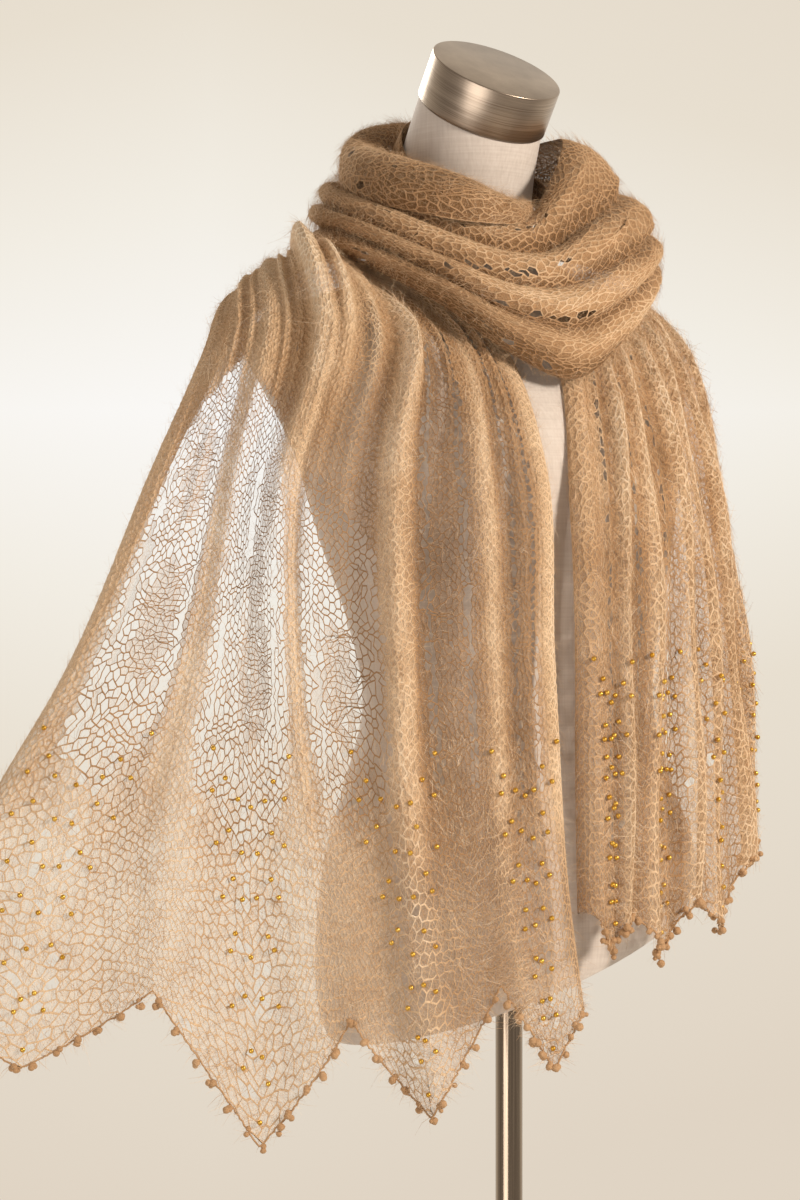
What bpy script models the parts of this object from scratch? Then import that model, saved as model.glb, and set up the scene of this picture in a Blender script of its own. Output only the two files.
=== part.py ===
# Knitted lace stole wound round a limbless dress form, which stands on a pole and a round base.
# Metres, +Z up. The form faces -Y and the origin is the middle of the base's underside.
import math
from collections import namedtuple

import bmesh
import bpy
import numpy as np
from mathutils import Vector

SEAM_GAP = 0.0003

# Stand
BASE_RADIUS = 0.185
BASE_HEIGHT = 0.014
BASE_EDGE = 0.004
COLLAR_RADIUS = 0.030
COLLAR_HEIGHT = 0.034
COLLAR_WALL = 0.006
COLLAR_FOOT = 0.005
COLLAR_EDGE = 0.002
POLE_RADIUS = 0.011

# Dress form: its underside is one slanting plane, lower on the form's right
UNDERSIDE_HEIGHT = 0.837
UNDERSIDE_SLOPE = 0.33
NECK_LEAN = math.radians(33)
CAP_RADIUS = 0.054
CAP_HEIGHT = 0.040
CAP_EDGE = 0.0016
CAP_SEAT = (0.0, 0.038, 1.519)
FORM_SIDES = 26

FormRing = namedtuple("FormRing", "height half_width half_depth middle_y slope lean")
FORM_RINGS = (
    FormRing(0.837, 0.163, 0.112, 0.000, 0.33, 0.0),
    FormRing(0.875, 0.170, 0.115, 0.000, 0.22, 0.0),
    FormRing(0.930, 0.163, 0.111, 0.000, 0.08, 0.0),
    FormRing(0.985, 0.142, 0.102, 0.000, 0.00, 0.0),
    FormRing(1.046, 0.126, 0.095, 0.000, 0.00, 0.0),
    FormRing(1.110, 0.137, 0.101, 0.005, 0.00, 0.0),
    FormRing(1.175, 0.157, 0.111, 0.014, 0.00, 0.0),
    FormRing(1.240, 0.174, 0.113, 0.024, 0.00, 0.0),
    FormRing(1.288, 0.196, 0.105, 0.038, 0.00, 0.0),
    FormRing(1.318, 0.210, 0.094, 0.049, 0.00, 0.0),
    FormRing(1.338, 0.203, 0.083, 0.056, 0.00, 0.0),
    FormRing(1.354, 0.176, 0.073, 0.061, 0.00, 0.0),
    FormRing(1.367, 0.140, 0.066, 0.065, 0.00, 0.0),
    FormRing(1.379, 0.106, 0.063, 0.068, 0.00, 0.0),
    FormRing(1.394, 0.081, 0.061, 0.070, 0.00, 0.2),
    FormRing(1.420, 0.068, 0.059, 0.069, 0.00, 0.45),
    FormRing(1.450, 0.060, 0.0565, 0.065, 0.00, 0.7),
    FormRing(1.485, 0.055, 0.0545, 0.053, 0.00, 0.9),
    FormRing(1.51875, 0.052, 0.052, 0.0382, 0.00, 1.0),
)

# Cloth: the hanging ends are drawn facing the direction the form's right shoulder looks in,
# with across to the right of that view, toward out of it and up.
VIEW_TURN = math.radians(35)
CLOTH_THICKNESS = 0.002
CLOTH_CLEARANCE = 0.006
SHOULDER_CLEARANCE = 0.022
ROLL_CLEARANCE = 0.0012
SHOULDER_ROLL_CLEARANCE = 0.014
CLEARANCE_EASE = 0.003
SHOULDER_RISE = (1.34, 1.40)
PROBE = 1e-3

# Places across an end, from its outer edge to its inner edge
QUARTERS = (0.0, 0.25, 0.5, 0.75, 1.0)
Section = namedtuple("Section", "along outer quarter half three_quarter inner")

RIGHT_ACROSS = (
    Section(0.00, -0.181, -0.165, -0.147, -0.128, -0.108),
    Section(0.12, -0.205, -0.185, -0.163, -0.142, -0.119),
    Section(0.22, -0.229, -0.193, -0.146, -0.106, -0.066),
    Section(0.34, -0.236, -0.188, -0.128, -0.060, -0.010),
    Section(0.52, -0.278, -0.211, -0.156, -0.048, 0.038),
    Section(0.70, -0.339, -0.234, -0.156, -0.041, 0.042),
    Section(0.87, -0.424, -0.266, -0.138, -0.030, 0.050),
    Section(1.00, -0.474, -0.272, -0.122, -0.020, 0.056),
)
RIGHT_TOWARD = (
    Section(0.00, -0.032, -0.050, -0.068, -0.085, -0.1015),
    Section(0.12, 0.018, 0.006, -0.008, -0.022, -0.036),
    Section(0.22, 0.062, 0.060, 0.056, 0.040, 0.020),
    Section(0.34, 0.090, 0.110, 0.113, 0.082, 0.057),
    Section(0.52, 0.105, 0.122, 0.134, 0.133, 0.112),
    Section(0.70, 0.120, 0.130, 0.140, 0.138, 0.122),
    Section(0.87, 0.150, 0.150, 0.152, 0.154, 0.140),
    Section(1.00, 0.165, 0.165, 0.162, 0.160, 0.148),
)
RIGHT_UP = (
    Section(0.00, 1.385, 1.395, 1.404, 1.412, 1.420),
    Section(0.12, 1.372, 1.392, 1.402, 1.402, 1.405),
    Section(0.22, 1.350, 1.381, 1.397, 1.381, 1.385),
    Section(0.34, 1.318, 1.331, 1.335, 1.330, 1.335),
    Section(0.52, 1.222, 1.216, 1.213, 1.213, 1.222),
    Section(0.70, 1.085, 1.076, 1.071, 1.072, 1.083),
    Section(0.87, 0.948, 0.938, 0.926, 0.930, 0.938),
    Section(1.00, 0.840, 0.834, 0.812, 0.838, 0.846),
)
LEFT_ACROSS = (
    Section(0.00, 0.021, 0.001, -0.019, -0.039, -0.059),
    Section(0.13, 0.084, 0.063, 0.042, 0.021, 0.000),
    Section(0.25, 0.120, 0.103, 0.084, 0.064, 0.044),
    Section(0.40, 0.152, 0.132, 0.106, 0.076, 0.045),
    Section(0.60, 0.174, 0.158, 0.130, 0.090, 0.050),
    Section(0.80, 0.194, 0.180, 0.138, 0.090, 0.058),
    Section(1.00, 0.209, 0.197, 0.142, 0.088, 0.062),
)
LEFT_TOWARD = (
    Section(0.00, -0.179, -0.169, -0.158, -0.147, -0.136),
    Section(0.13, -0.167, -0.156, -0.145, -0.133, -0.121),
    Section(0.25, -0.132, -0.112, -0.090, -0.068, -0.046),
    Section(0.40, -0.074, -0.050, -0.024, 0.002, 0.030),
    Section(0.60, -0.058, -0.012, 0.038, 0.086, 0.112),
    Section(0.80, -0.062, -0.010, 0.046, 0.096, 0.120),
    Section(1.00, -0.066, -0.008, 0.056, 0.108, 0.132),
)
LEFT_UP = (
    Section(0.00, 1.385, 1.395, 1.404, 1.412, 1.420),
    Section(0.13, 1.378, 1.388, 1.394, 1.400, 1.405),
    Section(0.25, 1.372, 1.380, 1.378, 1.376, 1.385),
    Section(0.40, 1.316, 1.320, 1.326, 1.330, 1.333),
    Section(0.60, 1.196, 1.194, 1.192, 1.190, 1.192),
    Section(0.80, 1.075, 1.060, 1.048, 1.040, 1.040),
    Section(1.00, 0.965, 0.920, 0.904, 0.893, 0.895),
)

# A fold follows the knitting from the shoulder to the hem. Place and half width are shares of the
# end's width, start is how far along the end it is whole, and the heights stand out from the cloth
# there and at the hem.
Fold = namedtuple("Fold", "start place_top place_hem half_width height_top height_hem")
RIGHT_FOLDS = (
    Fold(0.24, 0.12, 0.12, 0.050, 0.004, 0.010),
    Fold(0.24, 0.27, 0.26, 0.040, 0.008, 0.006),
    Fold(0.22, 0.42, 0.45, 0.034, 0.021, 0.005),
    Fold(0.26, 0.50, 0.51, 0.026, 0.016, 0.004),
    Fold(0.38, 0.575, 0.57, 0.024, 0.016, 0.003),
    Fold(0.42, 0.665, 0.635, 0.030, 0.028, 0.017),
    Fold(0.48, 0.80, 0.81, 0.030, 0.012, 0.008),
)
LEFT_FOLDS = (
    Fold(0.40, 0.10, 0.10, 0.032, 0.010, 0.014),
    Fold(0.42, 0.24, 0.24, 0.034, 0.014, 0.016),
    Fold(0.44, 0.38, 0.40, 0.032, 0.012, 0.015),
    Fold(0.46, 0.52, 0.52, 0.034, 0.015, 0.018),
    Fold(0.50, 0.66, 0.68, 0.034, 0.013, 0.014),
    Fold(0.52, 0.80, 0.80, 0.030, 0.014, 0.012),
)

# How far each of the four points of a hem reaches below the line through its valleys
RIGHT_POINTS = (0.085, 0.106, 0.088, 0.070)
LEFT_POINTS = (0.030, 0.052, 0.048, 0.034)
POINTS_RUN = (0.66, 1.34)
POINT_SHARPNESS = 0.9
FOLD_RUN_IN = 0.17

# A rolled edge: its share of the width, the length that rolls, and how far it turns in radians
# beside the neck, at the chest and at the hem
Roll = namedtuple("Roll", "share length turn_neck turn_chest turn_hem")
ROLL_PLACES = (0.15, 0.55, 1.0)
RIGHT_OUTER_ROLL = Roll(0.062, 0.030, 2.6, 3.0, 0.5)
RIGHT_INNER_ROLL = Roll(0.062, 0.032, 0.3, 2.6, 2.2)
LEFT_OUTER_ROLL = Roll(0.066, 0.028, 0.3, 1.2, 0.8)
LEFT_INNER_ROLL = Roll(0.066, 0.030, 0.3, 2.6, 2.0)

# Lace: gaps are cut in every second, narrow column of the grid, in rows parted by a bar
GAP_COLUMN_SHARE = 0.32
GAP_ROW_SHARE = 0.56
RIGHT_COLUMNS = 48
RIGHT_ROWS = 26
LEFT_COLUMNS = 32
LEFT_ROWS = 22
GAPS_FROM = 0.30
GAPS_TO_HEM = 3
GAPS_FROM_OUTER_EDGE = 4
GAPS_FROM_INNER_EDGE = 6
LEAF_COLUMNS = 5
LEAF_ROWS = 4
LEAF_REPEAT = 3

# Cast-off cord along each hem, with a picot bobble at each even step
BOBBLES_PER_POINT = 12
BOBBLE_RADIUS = 0.0040
CORD_RADIUS = 0.0013
RIGHT_CORD_RUN = (0.005, 0.974)
LEFT_CORD_RUN = (0.005, 0.948)
HEM_PROBES = (-0.012, -0.004, 0.004, 0.012)
STEEPEST_HEM = 0.2

# Neck wrap: measured round an upright line through the neck, from the front, positive toward the
# form's right. Each place has the top, middle and bottom of the wrap, as radius and height.
WRAP_MIDDLE_Y = 0.05
WrapPlace = namedtuple("WrapPlace", "angle top_r top_z mid_r mid_z low_r low_z")
WRAP_PLACES = (
    WrapPlace(-180, 0.094, 1.508, 0.114, 1.474, 0.118, 1.4253),
    WrapPlace(-120, 0.084, 1.500, 0.126, 1.466, 0.132, 1.420),
    WrapPlace(-85, 0.074, 1.488, 0.136, 1.452, 0.142, 1.404),
    WrapPlace(-50, 0.072, 1.474, 0.142, 1.428, 0.146, 1.378),
    WrapPlace(-20, 0.072, 1.444, 0.134, 1.394, 0.146, 1.328),
    WrapPlace(0, 0.082, 1.412, 0.130, 1.370, 0.143, 1.302),
    WrapPlace(20, 0.090, 1.400, 0.128, 1.366, 0.140, 1.318),
    WrapPlace(45, 0.098, 1.402, 0.126, 1.386, 0.137, 1.358),
    WrapPlace(80, 0.102, 1.432, 0.127, 1.422, 0.133, 1.402),
    WrapPlace(125, 0.094, 1.478, 0.122, 1.452, 0.127, 1.420),
    WrapPlace(180, 0.094, 1.508, 0.114, 1.474, 0.118, 1.4253),
)
FRONT_WRAP = (-120.0, 150.0)
BACK_WRAP = (150.3, 239.7)
WRAP_ROLLS = 4
WRAP_ROLL_HEIGHT = 0.011
WRAP_ROLL_SHARPNESS = 0.8
WRAP_ROLL_SINK = 0.45
WRAP_DRIFT = 0.35
WRAP_DRIFT_TURNS = 1.5
WRAP_DRIFT_FROM = 20.0
WRAP_HOOK = 0.009
WRAP_HOOK_SHARE = 0.1
WRAP_HOOK_BULGE = 0.25
FRONT_WRAP_STEPS = 33
BACK_WRAP_STEPS = 10
WRAP_ACROSS_STEPS = 18

# The thick top roll, open below, that ends tucked in at the front of the neck
RollPlace = namedtuple("RollPlace", "angle middle_r middle_z radius")
TOP_ROLL_PLACES = (
    RollPlace(-4, 0.068, 1.436, 0.006),
    RollPlace(10, 0.076, 1.430, 0.013),
    RollPlace(35, 0.083, 1.434, 0.022),
    RollPlace(75, 0.0902, 1.456, 0.024),
    RollPlace(125, 0.0898, 1.492, 0.022),
    RollPlace(165, 0.090, 1.518, 0.016),
    RollPlace(185, 0.088, 1.522, 0.010),
)
TOP_ROLL_OPENING = math.radians(110)
TOP_ROLL_STEPS = 20
TOP_ROLL_ACROSS_STEPS = 9

# The inner stretch that lies against the neck and stands highest behind it
InnerPlace = namedtuple("InnerPlace", "angle top_r top_z low_r low_z")
INNER_WRAP_PLACES = (
    InnerPlace(-100, 0.0598, 1.480, 0.0628, 1.455),
    InnerPlace(-145, 0.0583, 1.506, 0.0683, 1.470),
    InnerPlace(-190, 0.0543, 1.522, 0.0703, 1.476),
    InnerPlace(-225, 0.0563, 1.512, 0.0658, 1.472),
    InnerPlace(-262, 0.0588, 1.482, 0.0623, 1.456),
)
INNER_WRAP_BULGE = 0.004
INNER_WRAP_STEPS = 20
INNER_WRAP_ACROSS_STEPS = 4

MOHAIR = (0.62, 0.42, 0.23)
MOHAIR_EDGE = (0.55, 0.38, 0.22)
JERSEY = (0.80, 0.77, 0.72)
STEEL = (0.60, 0.55, 0.50)
CHROME = (0.78, 0.76, 0.74)


# Setting up

def clear_scene():
    for thing in list(bpy.data.objects):
        bpy.data.objects.remove(thing, do_unlink=True)


def make_collection(name):
    collection = bpy.data.collections.new(name)
    bpy.context.scene.collection.children.link(collection)
    return collection


def make_material(name, colour, roughness, metallic=0.0):
    material = bpy.data.materials.new(name)
    material.use_nodes = True
    shader = material.node_tree.nodes["Principled BSDF"]
    shader.inputs["Base Color"].default_value = (*colour, 1.0)
    shader.inputs["Roughness"].default_value = roughness
    shader.inputs["Metallic"].default_value = metallic
    return material


def add_object(name, mesh, material, collection):
    thing = bpy.data.objects.new(name, mesh)
    thing.data.materials.append(material)
    collection.objects.link(thing)
    return thing


def finish_bmesh(shape, name, sharp_from=0.6):
    mesh = bpy.data.meshes.new(name)
    shape.to_mesh(mesh)
    shape.free()
    mesh.shade_smooth()
    mesh.set_sharp_from_angle(angle=sharp_from)
    return mesh


# Curves through the tables

def smooth(place, knots, values):
    """The value at a place on a smooth curve through the knots, held level beyond the ends."""
    knots = np.asarray(knots, float)
    values = np.asarray(values, float)
    slopes = np.gradient(values, knots, axis=0)
    index = int(np.clip(np.searchsorted(knots, place) - 1, 0, len(knots) - 2))
    width = knots[index + 1] - knots[index]
    s = np.clip((place - knots[index]) / width, 0.0, 1.0)
    rise = s * s * (3 - 2 * s)
    leave = s * (1 - s) ** 2 * width
    arrive = s * s * (s - 1) * width
    return (values[index] * (1 - rise) + values[index + 1] * rise
            + slopes[index] * leave + slopes[index + 1] * arrive)


def at(rows, key, place):
    """The row's other columns at a place between the rows of a table."""
    key_column = rows[0]._fields.index(key)
    knots = [row[key_column] for row in rows]
    values = [[cell for column, cell in enumerate(row) if column != key_column] for row in rows]
    return smooth(place, knots, values)


def from_view(across, toward, up):
    turn = VIEW_TURN
    x = across * math.cos(turn) - toward * math.sin(turn)
    y = -across * math.sin(turn) - toward * math.cos(turn)
    return np.array([x, y, up])


def ramp(value, start, end):
    s = min(max((value - start) / (end - start), 0.0), 1.0)
    return s * s * (3 - 2 * s)


def mix(first, second, share):
    return first + (second - first) * share


def lifted(base, u, v, height):
    """A point of a surface moved along its outward normal."""
    side = base(u + PROBE, v) - base(u - PROBE, v)
    down = base(u, v + PROBE) - base(u, v - PROBE)
    normal = np.cross(down, side)
    return base(u, v) + normal / np.linalg.norm(normal) * height


# The two hanging ends

def rolled_edge(distance, roll, along):
    """How far out and how far back a point of a rolled edge lies, with distance 1 at the edge."""
    turn = smooth(along, ROLL_PLACES, (roll.turn_neck, roll.turn_chest, roll.turn_hem))
    out = roll.length * math.sin(turn * distance) / turn
    back = roll.length * (1 - math.cos(turn * distance)) / turn
    return out, back


def hem_point_drop(u, along, points):
    """The extra length of the pointed hem, which bends the rows above it as well."""
    count = len(points)
    index = min(int(u * count), count - 1)
    share = u * count - index
    tip = (1 - abs(2 * share - 1)) ** POINT_SHARPNESS
    return points[index] * tip * ramp(along, *POINTS_RUN) / ramp(1.0, *POINTS_RUN)


def clear_of_form(point, clearance):
    """A point eased out of the form, so that cloth drapes over it with a small clearance."""
    middle_y, slope, lean = at(FORM_RINGS, "height", point[2])[2:]
    level = point[2] - (point[1] - middle_y) * math.tan(NECK_LEAN * lean) - slope * point[0]
    half_width, half_depth, middle_y, slope, lean = at(FORM_RINGS, "height", level)
    x, y = point[0], point[1] - middle_y
    share = math.hypot(x / half_width, y / half_depth)
    reach = math.hypot(x, y) / max(share, 1e-6)
    away = (share - 1) * reach
    eased = (away + clearance + math.hypot(away - clearance, CLEARANCE_EASE)) / 2
    grow = (1 + eased / reach) / share
    return np.array([x * grow, y * grow + middle_y, point[2]])


class HangingEnd:
    """One end of the stole, from behind the neck over a shoulder to its pointed hem."""

    def __init__(self, across, toward, up, folds, points, outer_roll, inner_roll, inner_side):
        self.tables = (across, toward, up)
        self.folds = folds
        self.points = points
        self.outer_roll = outer_roll
        self.inner_roll = inner_roll
        self.inner_side = inner_side

    def base(self, u, v):
        outer, inner = self.outer_roll, self.inner_roll
        held_u = min(max(u, outer.share), 1 - inner.share)
        rows = [smooth(held_u, QUARTERS, at(table, "along", v)) for table in self.tables]
        point = from_view(*rows)
        point[2] -= hem_point_drop(held_u, v, self.points)
        clearance = mix(CLOTH_CLEARANCE, SHOULDER_CLEARANCE, ramp(point[2], *SHOULDER_RISE))
        return clear_of_form(point, clearance)

    def height(self, u, v):
        total = 0.0
        for fold in self.folds:
            middle = mix(fold.place_top, fold.place_hem, v)
            distance = (u - middle) / fold.half_width
            size = mix(fold.height_top, fold.height_hem, ramp(v, fold.start, 1.0))
            size *= ramp(v, fold.start - FOLD_RUN_IN, fold.start)
            total += size * math.exp(-distance * distance)
        return total * self.inner_side

    def point(self, u, v):
        outer, inner = self.outer_roll, self.inner_roll
        held_u = min(max(u, outer.share), 1 - inner.share)
        if held_u == u:
            return lifted(self.base, u, v, self.height(u, v))
        roll = outer if u < outer.share else inner
        outward = -1 if u < outer.share else 1
        distance = (held_u - u) / outer.share if u < outer.share else (u - held_u) / inner.share
        inside = held_u - outward * PROBE
        seat = lifted(self.base, inside, v, self.height(held_u, v))
        before = lifted(self.base, inside - outward * PROBE * 4, v, self.height(held_u, v))
        side = (seat - before) / np.linalg.norm(seat - before)
        down = self.base(inside, v + PROBE) - self.base(inside, v - PROBE)
        back = np.cross(side, down) * outward * self.inner_side
        back /= np.linalg.norm(back)
        out, in_depth = rolled_edge(distance, roll, v)
        clearance = mix(ROLL_CLEARANCE, SHOULDER_ROLL_CLEARANCE, ramp(seat[2], *SHOULDER_RISE))
        return clear_of_form(seat + side * out + back * in_depth, clearance)


RIGHT_END = HangingEnd(RIGHT_ACROSS, RIGHT_TOWARD, RIGHT_UP, RIGHT_FOLDS, RIGHT_POINTS,
                       RIGHT_OUTER_ROLL, RIGHT_INNER_ROLL, 1)
LEFT_END = HangingEnd(LEFT_ACROSS, LEFT_TOWARD, LEFT_UP, LEFT_FOLDS, LEFT_POINTS,
                      LEFT_OUTER_ROLL, LEFT_INNER_ROLL, -1)


def uneven_steps(count, first_share):
    """Places of count steps from 0 to 1, where every second step is narrower or wider."""
    widths = [first_share if index % 2 else 1 - first_share for index in range(count)]
    return np.concatenate([[0.0], np.cumsum(widths) / np.sum(widths)])


def is_gap(column, row, columns, rows):
    """Gaps lie in pairs of ladders between leaves, closed up toward the neck and the edges."""
    if column % 2 == 0 or row % 2 == 0:
        return False
    if column < GAPS_FROM_OUTER_EDGE or column > columns - GAPS_FROM_INNER_EDGE:
        return False
    if row / rows < GAPS_FROM or row > rows - GAPS_TO_HEM:
        return False
    leaf = (column // 2) % LEAF_COLUMNS + (row // 2) % LEAF_ROWS
    return leaf % LEAF_REPEAT != 1


def wall_of(name, shape, material, collection, thickness=CLOTH_THICKNESS):
    wall = add_object(name, finish_bmesh(shape, name, sharp_from=1.2), material, collection)
    solidify = wall.modifiers.new("Cloth thickness", "SOLIDIFY")
    solidify.thickness = thickness
    solidify.offset = 0.0
    solidify.use_rim = True
    return wall


def grid_sheet(columns, rows, surface, column_places=None, row_places=None, gap=None):
    """A flat grid whose points are carried to a surface, with its gaps cut out."""
    shape = bmesh.new()
    bmesh.ops.create_grid(shape, x_segments=columns, y_segments=rows, size=0.5)
    if gap:
        gone = []
        for face in shape.faces:
            middle = face.calc_center_median()
            column = int((middle.x + 0.5) * columns)
            row = int((middle.y + 0.5) * rows)
            if gap(column, row, columns, rows):
                gone.append(face)
        bmesh.ops.delete(shape, geom=gone, context="FACES")
    for vert in shape.verts:
        u_index = round((vert.co.x + 0.5) * columns)
        v_index = round((vert.co.y + 0.5) * rows)
        u = column_places[u_index] if column_places is not None else u_index / columns
        v = row_places[v_index] if row_places is not None else v_index / rows
        vert.co = Vector(surface(u, v))
    return shape


def hanging_end(name, end, columns, rows, material, collection):
    shape = grid_sheet(columns, rows, end.point, uneven_steps(columns, GAP_COLUMN_SHARE),
                       uneven_steps(rows, GAP_ROW_SHARE), is_gap)
    bmesh.ops.reverse_faces(shape, faces=shape.faces)
    return wall_of(name, shape, material, collection)


def beyond_hem(end, u, clear):
    """A point below the hem, as far off the cloth's edge as the clearance asks."""
    here = end.point(u, 1.0)
    wale = here - end.point(u, 0.99)
    wale /= np.linalg.norm(wale)
    slants = []
    for side in HEM_PROBES:
        edge = end.point(min(max(u + side, 0.0), 1.0), 1.0) - here
        length = np.linalg.norm(edge)
        slants.append(abs(edge @ wale) / length if length else 0.0)
    return here + wale * clear / math.sqrt(max(1 - max(slants) ** 2, STEEPEST_HEM))


def picot_edge(name, end, run, material, collection):
    steps = BOBBLES_PER_POINT * len(end.points) * 2
    curve = bpy.data.curves.new(name, "CURVE")
    curve.dimensions = "3D"
    curve.bevel_depth = CORD_RADIUS
    curve.bevel_resolution = 0
    curve.use_fill_caps = True
    spline = curve.splines.new("POLY")
    spline.points.add(steps)
    for index, point in enumerate(spline.points):
        u = mix(run[0], run[1], index / steps)
        place = beyond_hem(end, u, BOBBLE_RADIUS + SEAM_GAP)
        point.co = (*place, 1.0)
        point.radius = BOBBLE_RADIUS / CORD_RADIUS if index % 2 else 1.0
    return add_object(name, curve, material, collection)


# The neck wrap

def around_neck(angle, radius, height):
    turn = math.radians(angle)
    return np.array([-radius * math.sin(turn), WRAP_MIDDLE_Y - radius * math.cos(turn), height])


def wrap_base(angle, s):
    top_r, top_z, mid_r, mid_z, low_r, low_z = at(WRAP_PLACES, "angle", angle)
    radius = smooth(s, (0.0, 0.5, 1.0), (top_r, mid_r, low_r))
    height = smooth(s, (0.0, 0.5, 1.0), (top_z, mid_z, low_z))
    return around_neck(angle, radius, height)


def wrap_point(angle, s):
    """The wound cloth: long rolls that run round the neck, with its last edge turned under."""
    hook_from = 1 - WRAP_HOOK_SHARE
    hook = max(s - hook_from, 0.0) / WRAP_HOOK_SHARE
    held = min(s, hook_from) / hook_from
    angle = (angle + 180) % 360 - 180
    side = wrap_base(angle + 1, held) - wrap_base(angle - 1, held)
    down = wrap_base(angle, held + 0.02) - wrap_base(angle, held - 0.02)
    normal = np.cross(side, down)
    normal /= np.linalg.norm(normal)
    down /= np.linalg.norm(down)
    drift = WRAP_DRIFT * math.sin(math.radians(angle * WRAP_DRIFT_TURNS + WRAP_DRIFT_FROM))
    wave = abs(math.sin(math.pi * (WRAP_ROLLS * held + drift * held * (1 - held) * 4)))
    height = WRAP_ROLL_HEIGHT * (wave ** WRAP_ROLL_SHARPNESS - WRAP_ROLL_SINK)
    bulge = WRAP_HOOK * WRAP_HOOK_BULGE * math.sin(math.pi * hook)
    return wrap_base(angle, held) + normal * (height - WRAP_HOOK * hook) + down * bulge


def wrap_stretch(name, angles, steps, material, collection):
    def surface(u, v):
        return wrap_point(mix(angles[0], angles[1], u), v)

    shape = grid_sheet(steps, WRAP_ACROSS_STEPS, surface)
    return wall_of(name, shape, material, collection)


def top_roll(name, material, collection):
    first = TOP_ROLL_PLACES[0].angle
    last = TOP_ROLL_PLACES[-1].angle

    def surface(u, v):
        angle = mix(first, last, u)
        middle_r, middle_z, radius = at(TOP_ROLL_PLACES, "angle", angle)
        start = -math.pi / 2 + TOP_ROLL_OPENING / 2
        turn = start + (2 * math.pi - TOP_ROLL_OPENING) * v
        out, up = radius * math.cos(turn), radius * math.sin(turn)
        return around_neck(angle, middle_r + out, middle_z + up)

    shape = grid_sheet(TOP_ROLL_STEPS, TOP_ROLL_ACROSS_STEPS, surface)
    return wall_of(name, shape, material, collection)


def inner_wrap(name, material, collection):
    rows = sorted(INNER_WRAP_PLACES, key=lambda row: row.angle)

    def surface(u, v):
        angle = mix(rows[0].angle, rows[-1].angle, u)
        top_r, top_z, low_r, low_z = at(rows, "angle", angle)
        bulge = INNER_WRAP_BULGE * math.sin(math.pi * v)
        return around_neck(angle, mix(top_r, low_r, v) + bulge, mix(top_z, low_z, v))

    shape = grid_sheet(INNER_WRAP_STEPS, INNER_WRAP_ACROSS_STEPS, surface)
    return wall_of(name, shape, material, collection)


# The dress form and its stand

def form_point(ring, share):
    turn = 2 * math.pi * share
    x = ring.half_width * math.cos(turn)
    y = ring.half_depth * math.sin(turn)
    lean = NECK_LEAN * ring.lean
    height = ring.height + ring.slope * x + y * math.sin(lean)
    return Vector((x, ring.middle_y + y * math.cos(lean), height))


def dress_form(material, collection):
    shape = bmesh.new()
    last = len(FORM_RINGS) - 1
    bmesh.ops.create_grid(shape, x_segments=FORM_SIDES, y_segments=last, size=0.5)
    for vert in shape.verts:
        ring = FORM_RINGS[round((vert.co.y + 0.5) * last)]
        vert.co = form_point(ring, round((vert.co.x + 0.5) * FORM_SIDES) / FORM_SIDES)
    bmesh.ops.remove_doubles(shape, verts=shape.verts, dist=1e-5)
    bmesh.ops.holes_fill(shape, edges=shape.edges, sides=FORM_SIDES)
    bmesh.ops.recalc_face_normals(shape, faces=shape.faces)
    return add_object("dress_form", finish_bmesh(shape, "dress_form"), material, collection)


def turned(name, profile, material, collection, steps=40):
    """A solid of revolution, with its profile running down its outer side."""
    mesh = bpy.data.meshes.new(name)
    shape = bmesh.new()
    verts = [shape.verts.new((radius, 0.0, height)) for radius, height in profile]
    for first, second in zip(verts, verts[1:]):
        shape.edges.new((first, second))
    shape.to_mesh(mesh)
    shape.free()
    thing = add_object(name, mesh, material, collection)
    screw = thing.modifiers.new("Turn", "SCREW")
    screw.steps = steps
    screw.render_steps = steps
    screw.use_merge_vertices = True
    screw.merge_threshold = 1e-5
    screw.use_smooth_shade = True
    return thing


def neck_cap(material, collection):
    profile = (
        (0.0, CAP_HEIGHT),
        (CAP_RADIUS - CAP_EDGE, CAP_HEIGHT),
        (CAP_RADIUS, CAP_HEIGHT - CAP_EDGE),
        (CAP_RADIUS, CAP_EDGE / 2),
        (CAP_RADIUS - CAP_EDGE / 2, 0.0),
        (0.0, 0.0),
    )
    cap = turned("neck_cap", profile, material, collection, steps=36)
    cap.location = CAP_SEAT
    cap.rotation_euler = (NECK_LEAN, 0.0, 0.0)
    return cap


def base_plate(material, collection):
    profile = (
        (0.0, BASE_HEIGHT),
        (COLLAR_RADIUS * 1.4, BASE_HEIGHT),
        (BASE_RADIUS - BASE_EDGE * 3, BASE_HEIGHT - BASE_EDGE),
        (BASE_RADIUS - BASE_EDGE, BASE_HEIGHT - BASE_EDGE * 1.4),
        (BASE_RADIUS, BASE_HEIGHT - BASE_EDGE * 2.4),
        (BASE_RADIUS, BASE_EDGE / 4),
        (BASE_RADIUS - BASE_EDGE / 4, 0.0),
        (0.0, 0.0),
    )
    return turned("base_plate", profile, material, collection, steps=48)


def pole_collar(material, collection):
    inner = POLE_RADIUS + SEAM_GAP
    bottom = BASE_HEIGHT + SEAM_GAP
    top = bottom + COLLAR_HEIGHT
    outer = inner + COLLAR_WALL
    profile = (
        (inner, top),
        (outer - COLLAR_EDGE, top),
        (outer, top - COLLAR_EDGE),
        (outer, bottom + COLLAR_FOOT * 2),
        (COLLAR_RADIUS - COLLAR_EDGE, bottom + COLLAR_FOOT),
        (COLLAR_RADIUS, bottom + COLLAR_FOOT - COLLAR_EDGE),
        (COLLAR_RADIUS, bottom),
        (inner, bottom),
        (inner, top),
    )
    return turned("pole_collar", profile, material, collection, steps=32)


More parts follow.
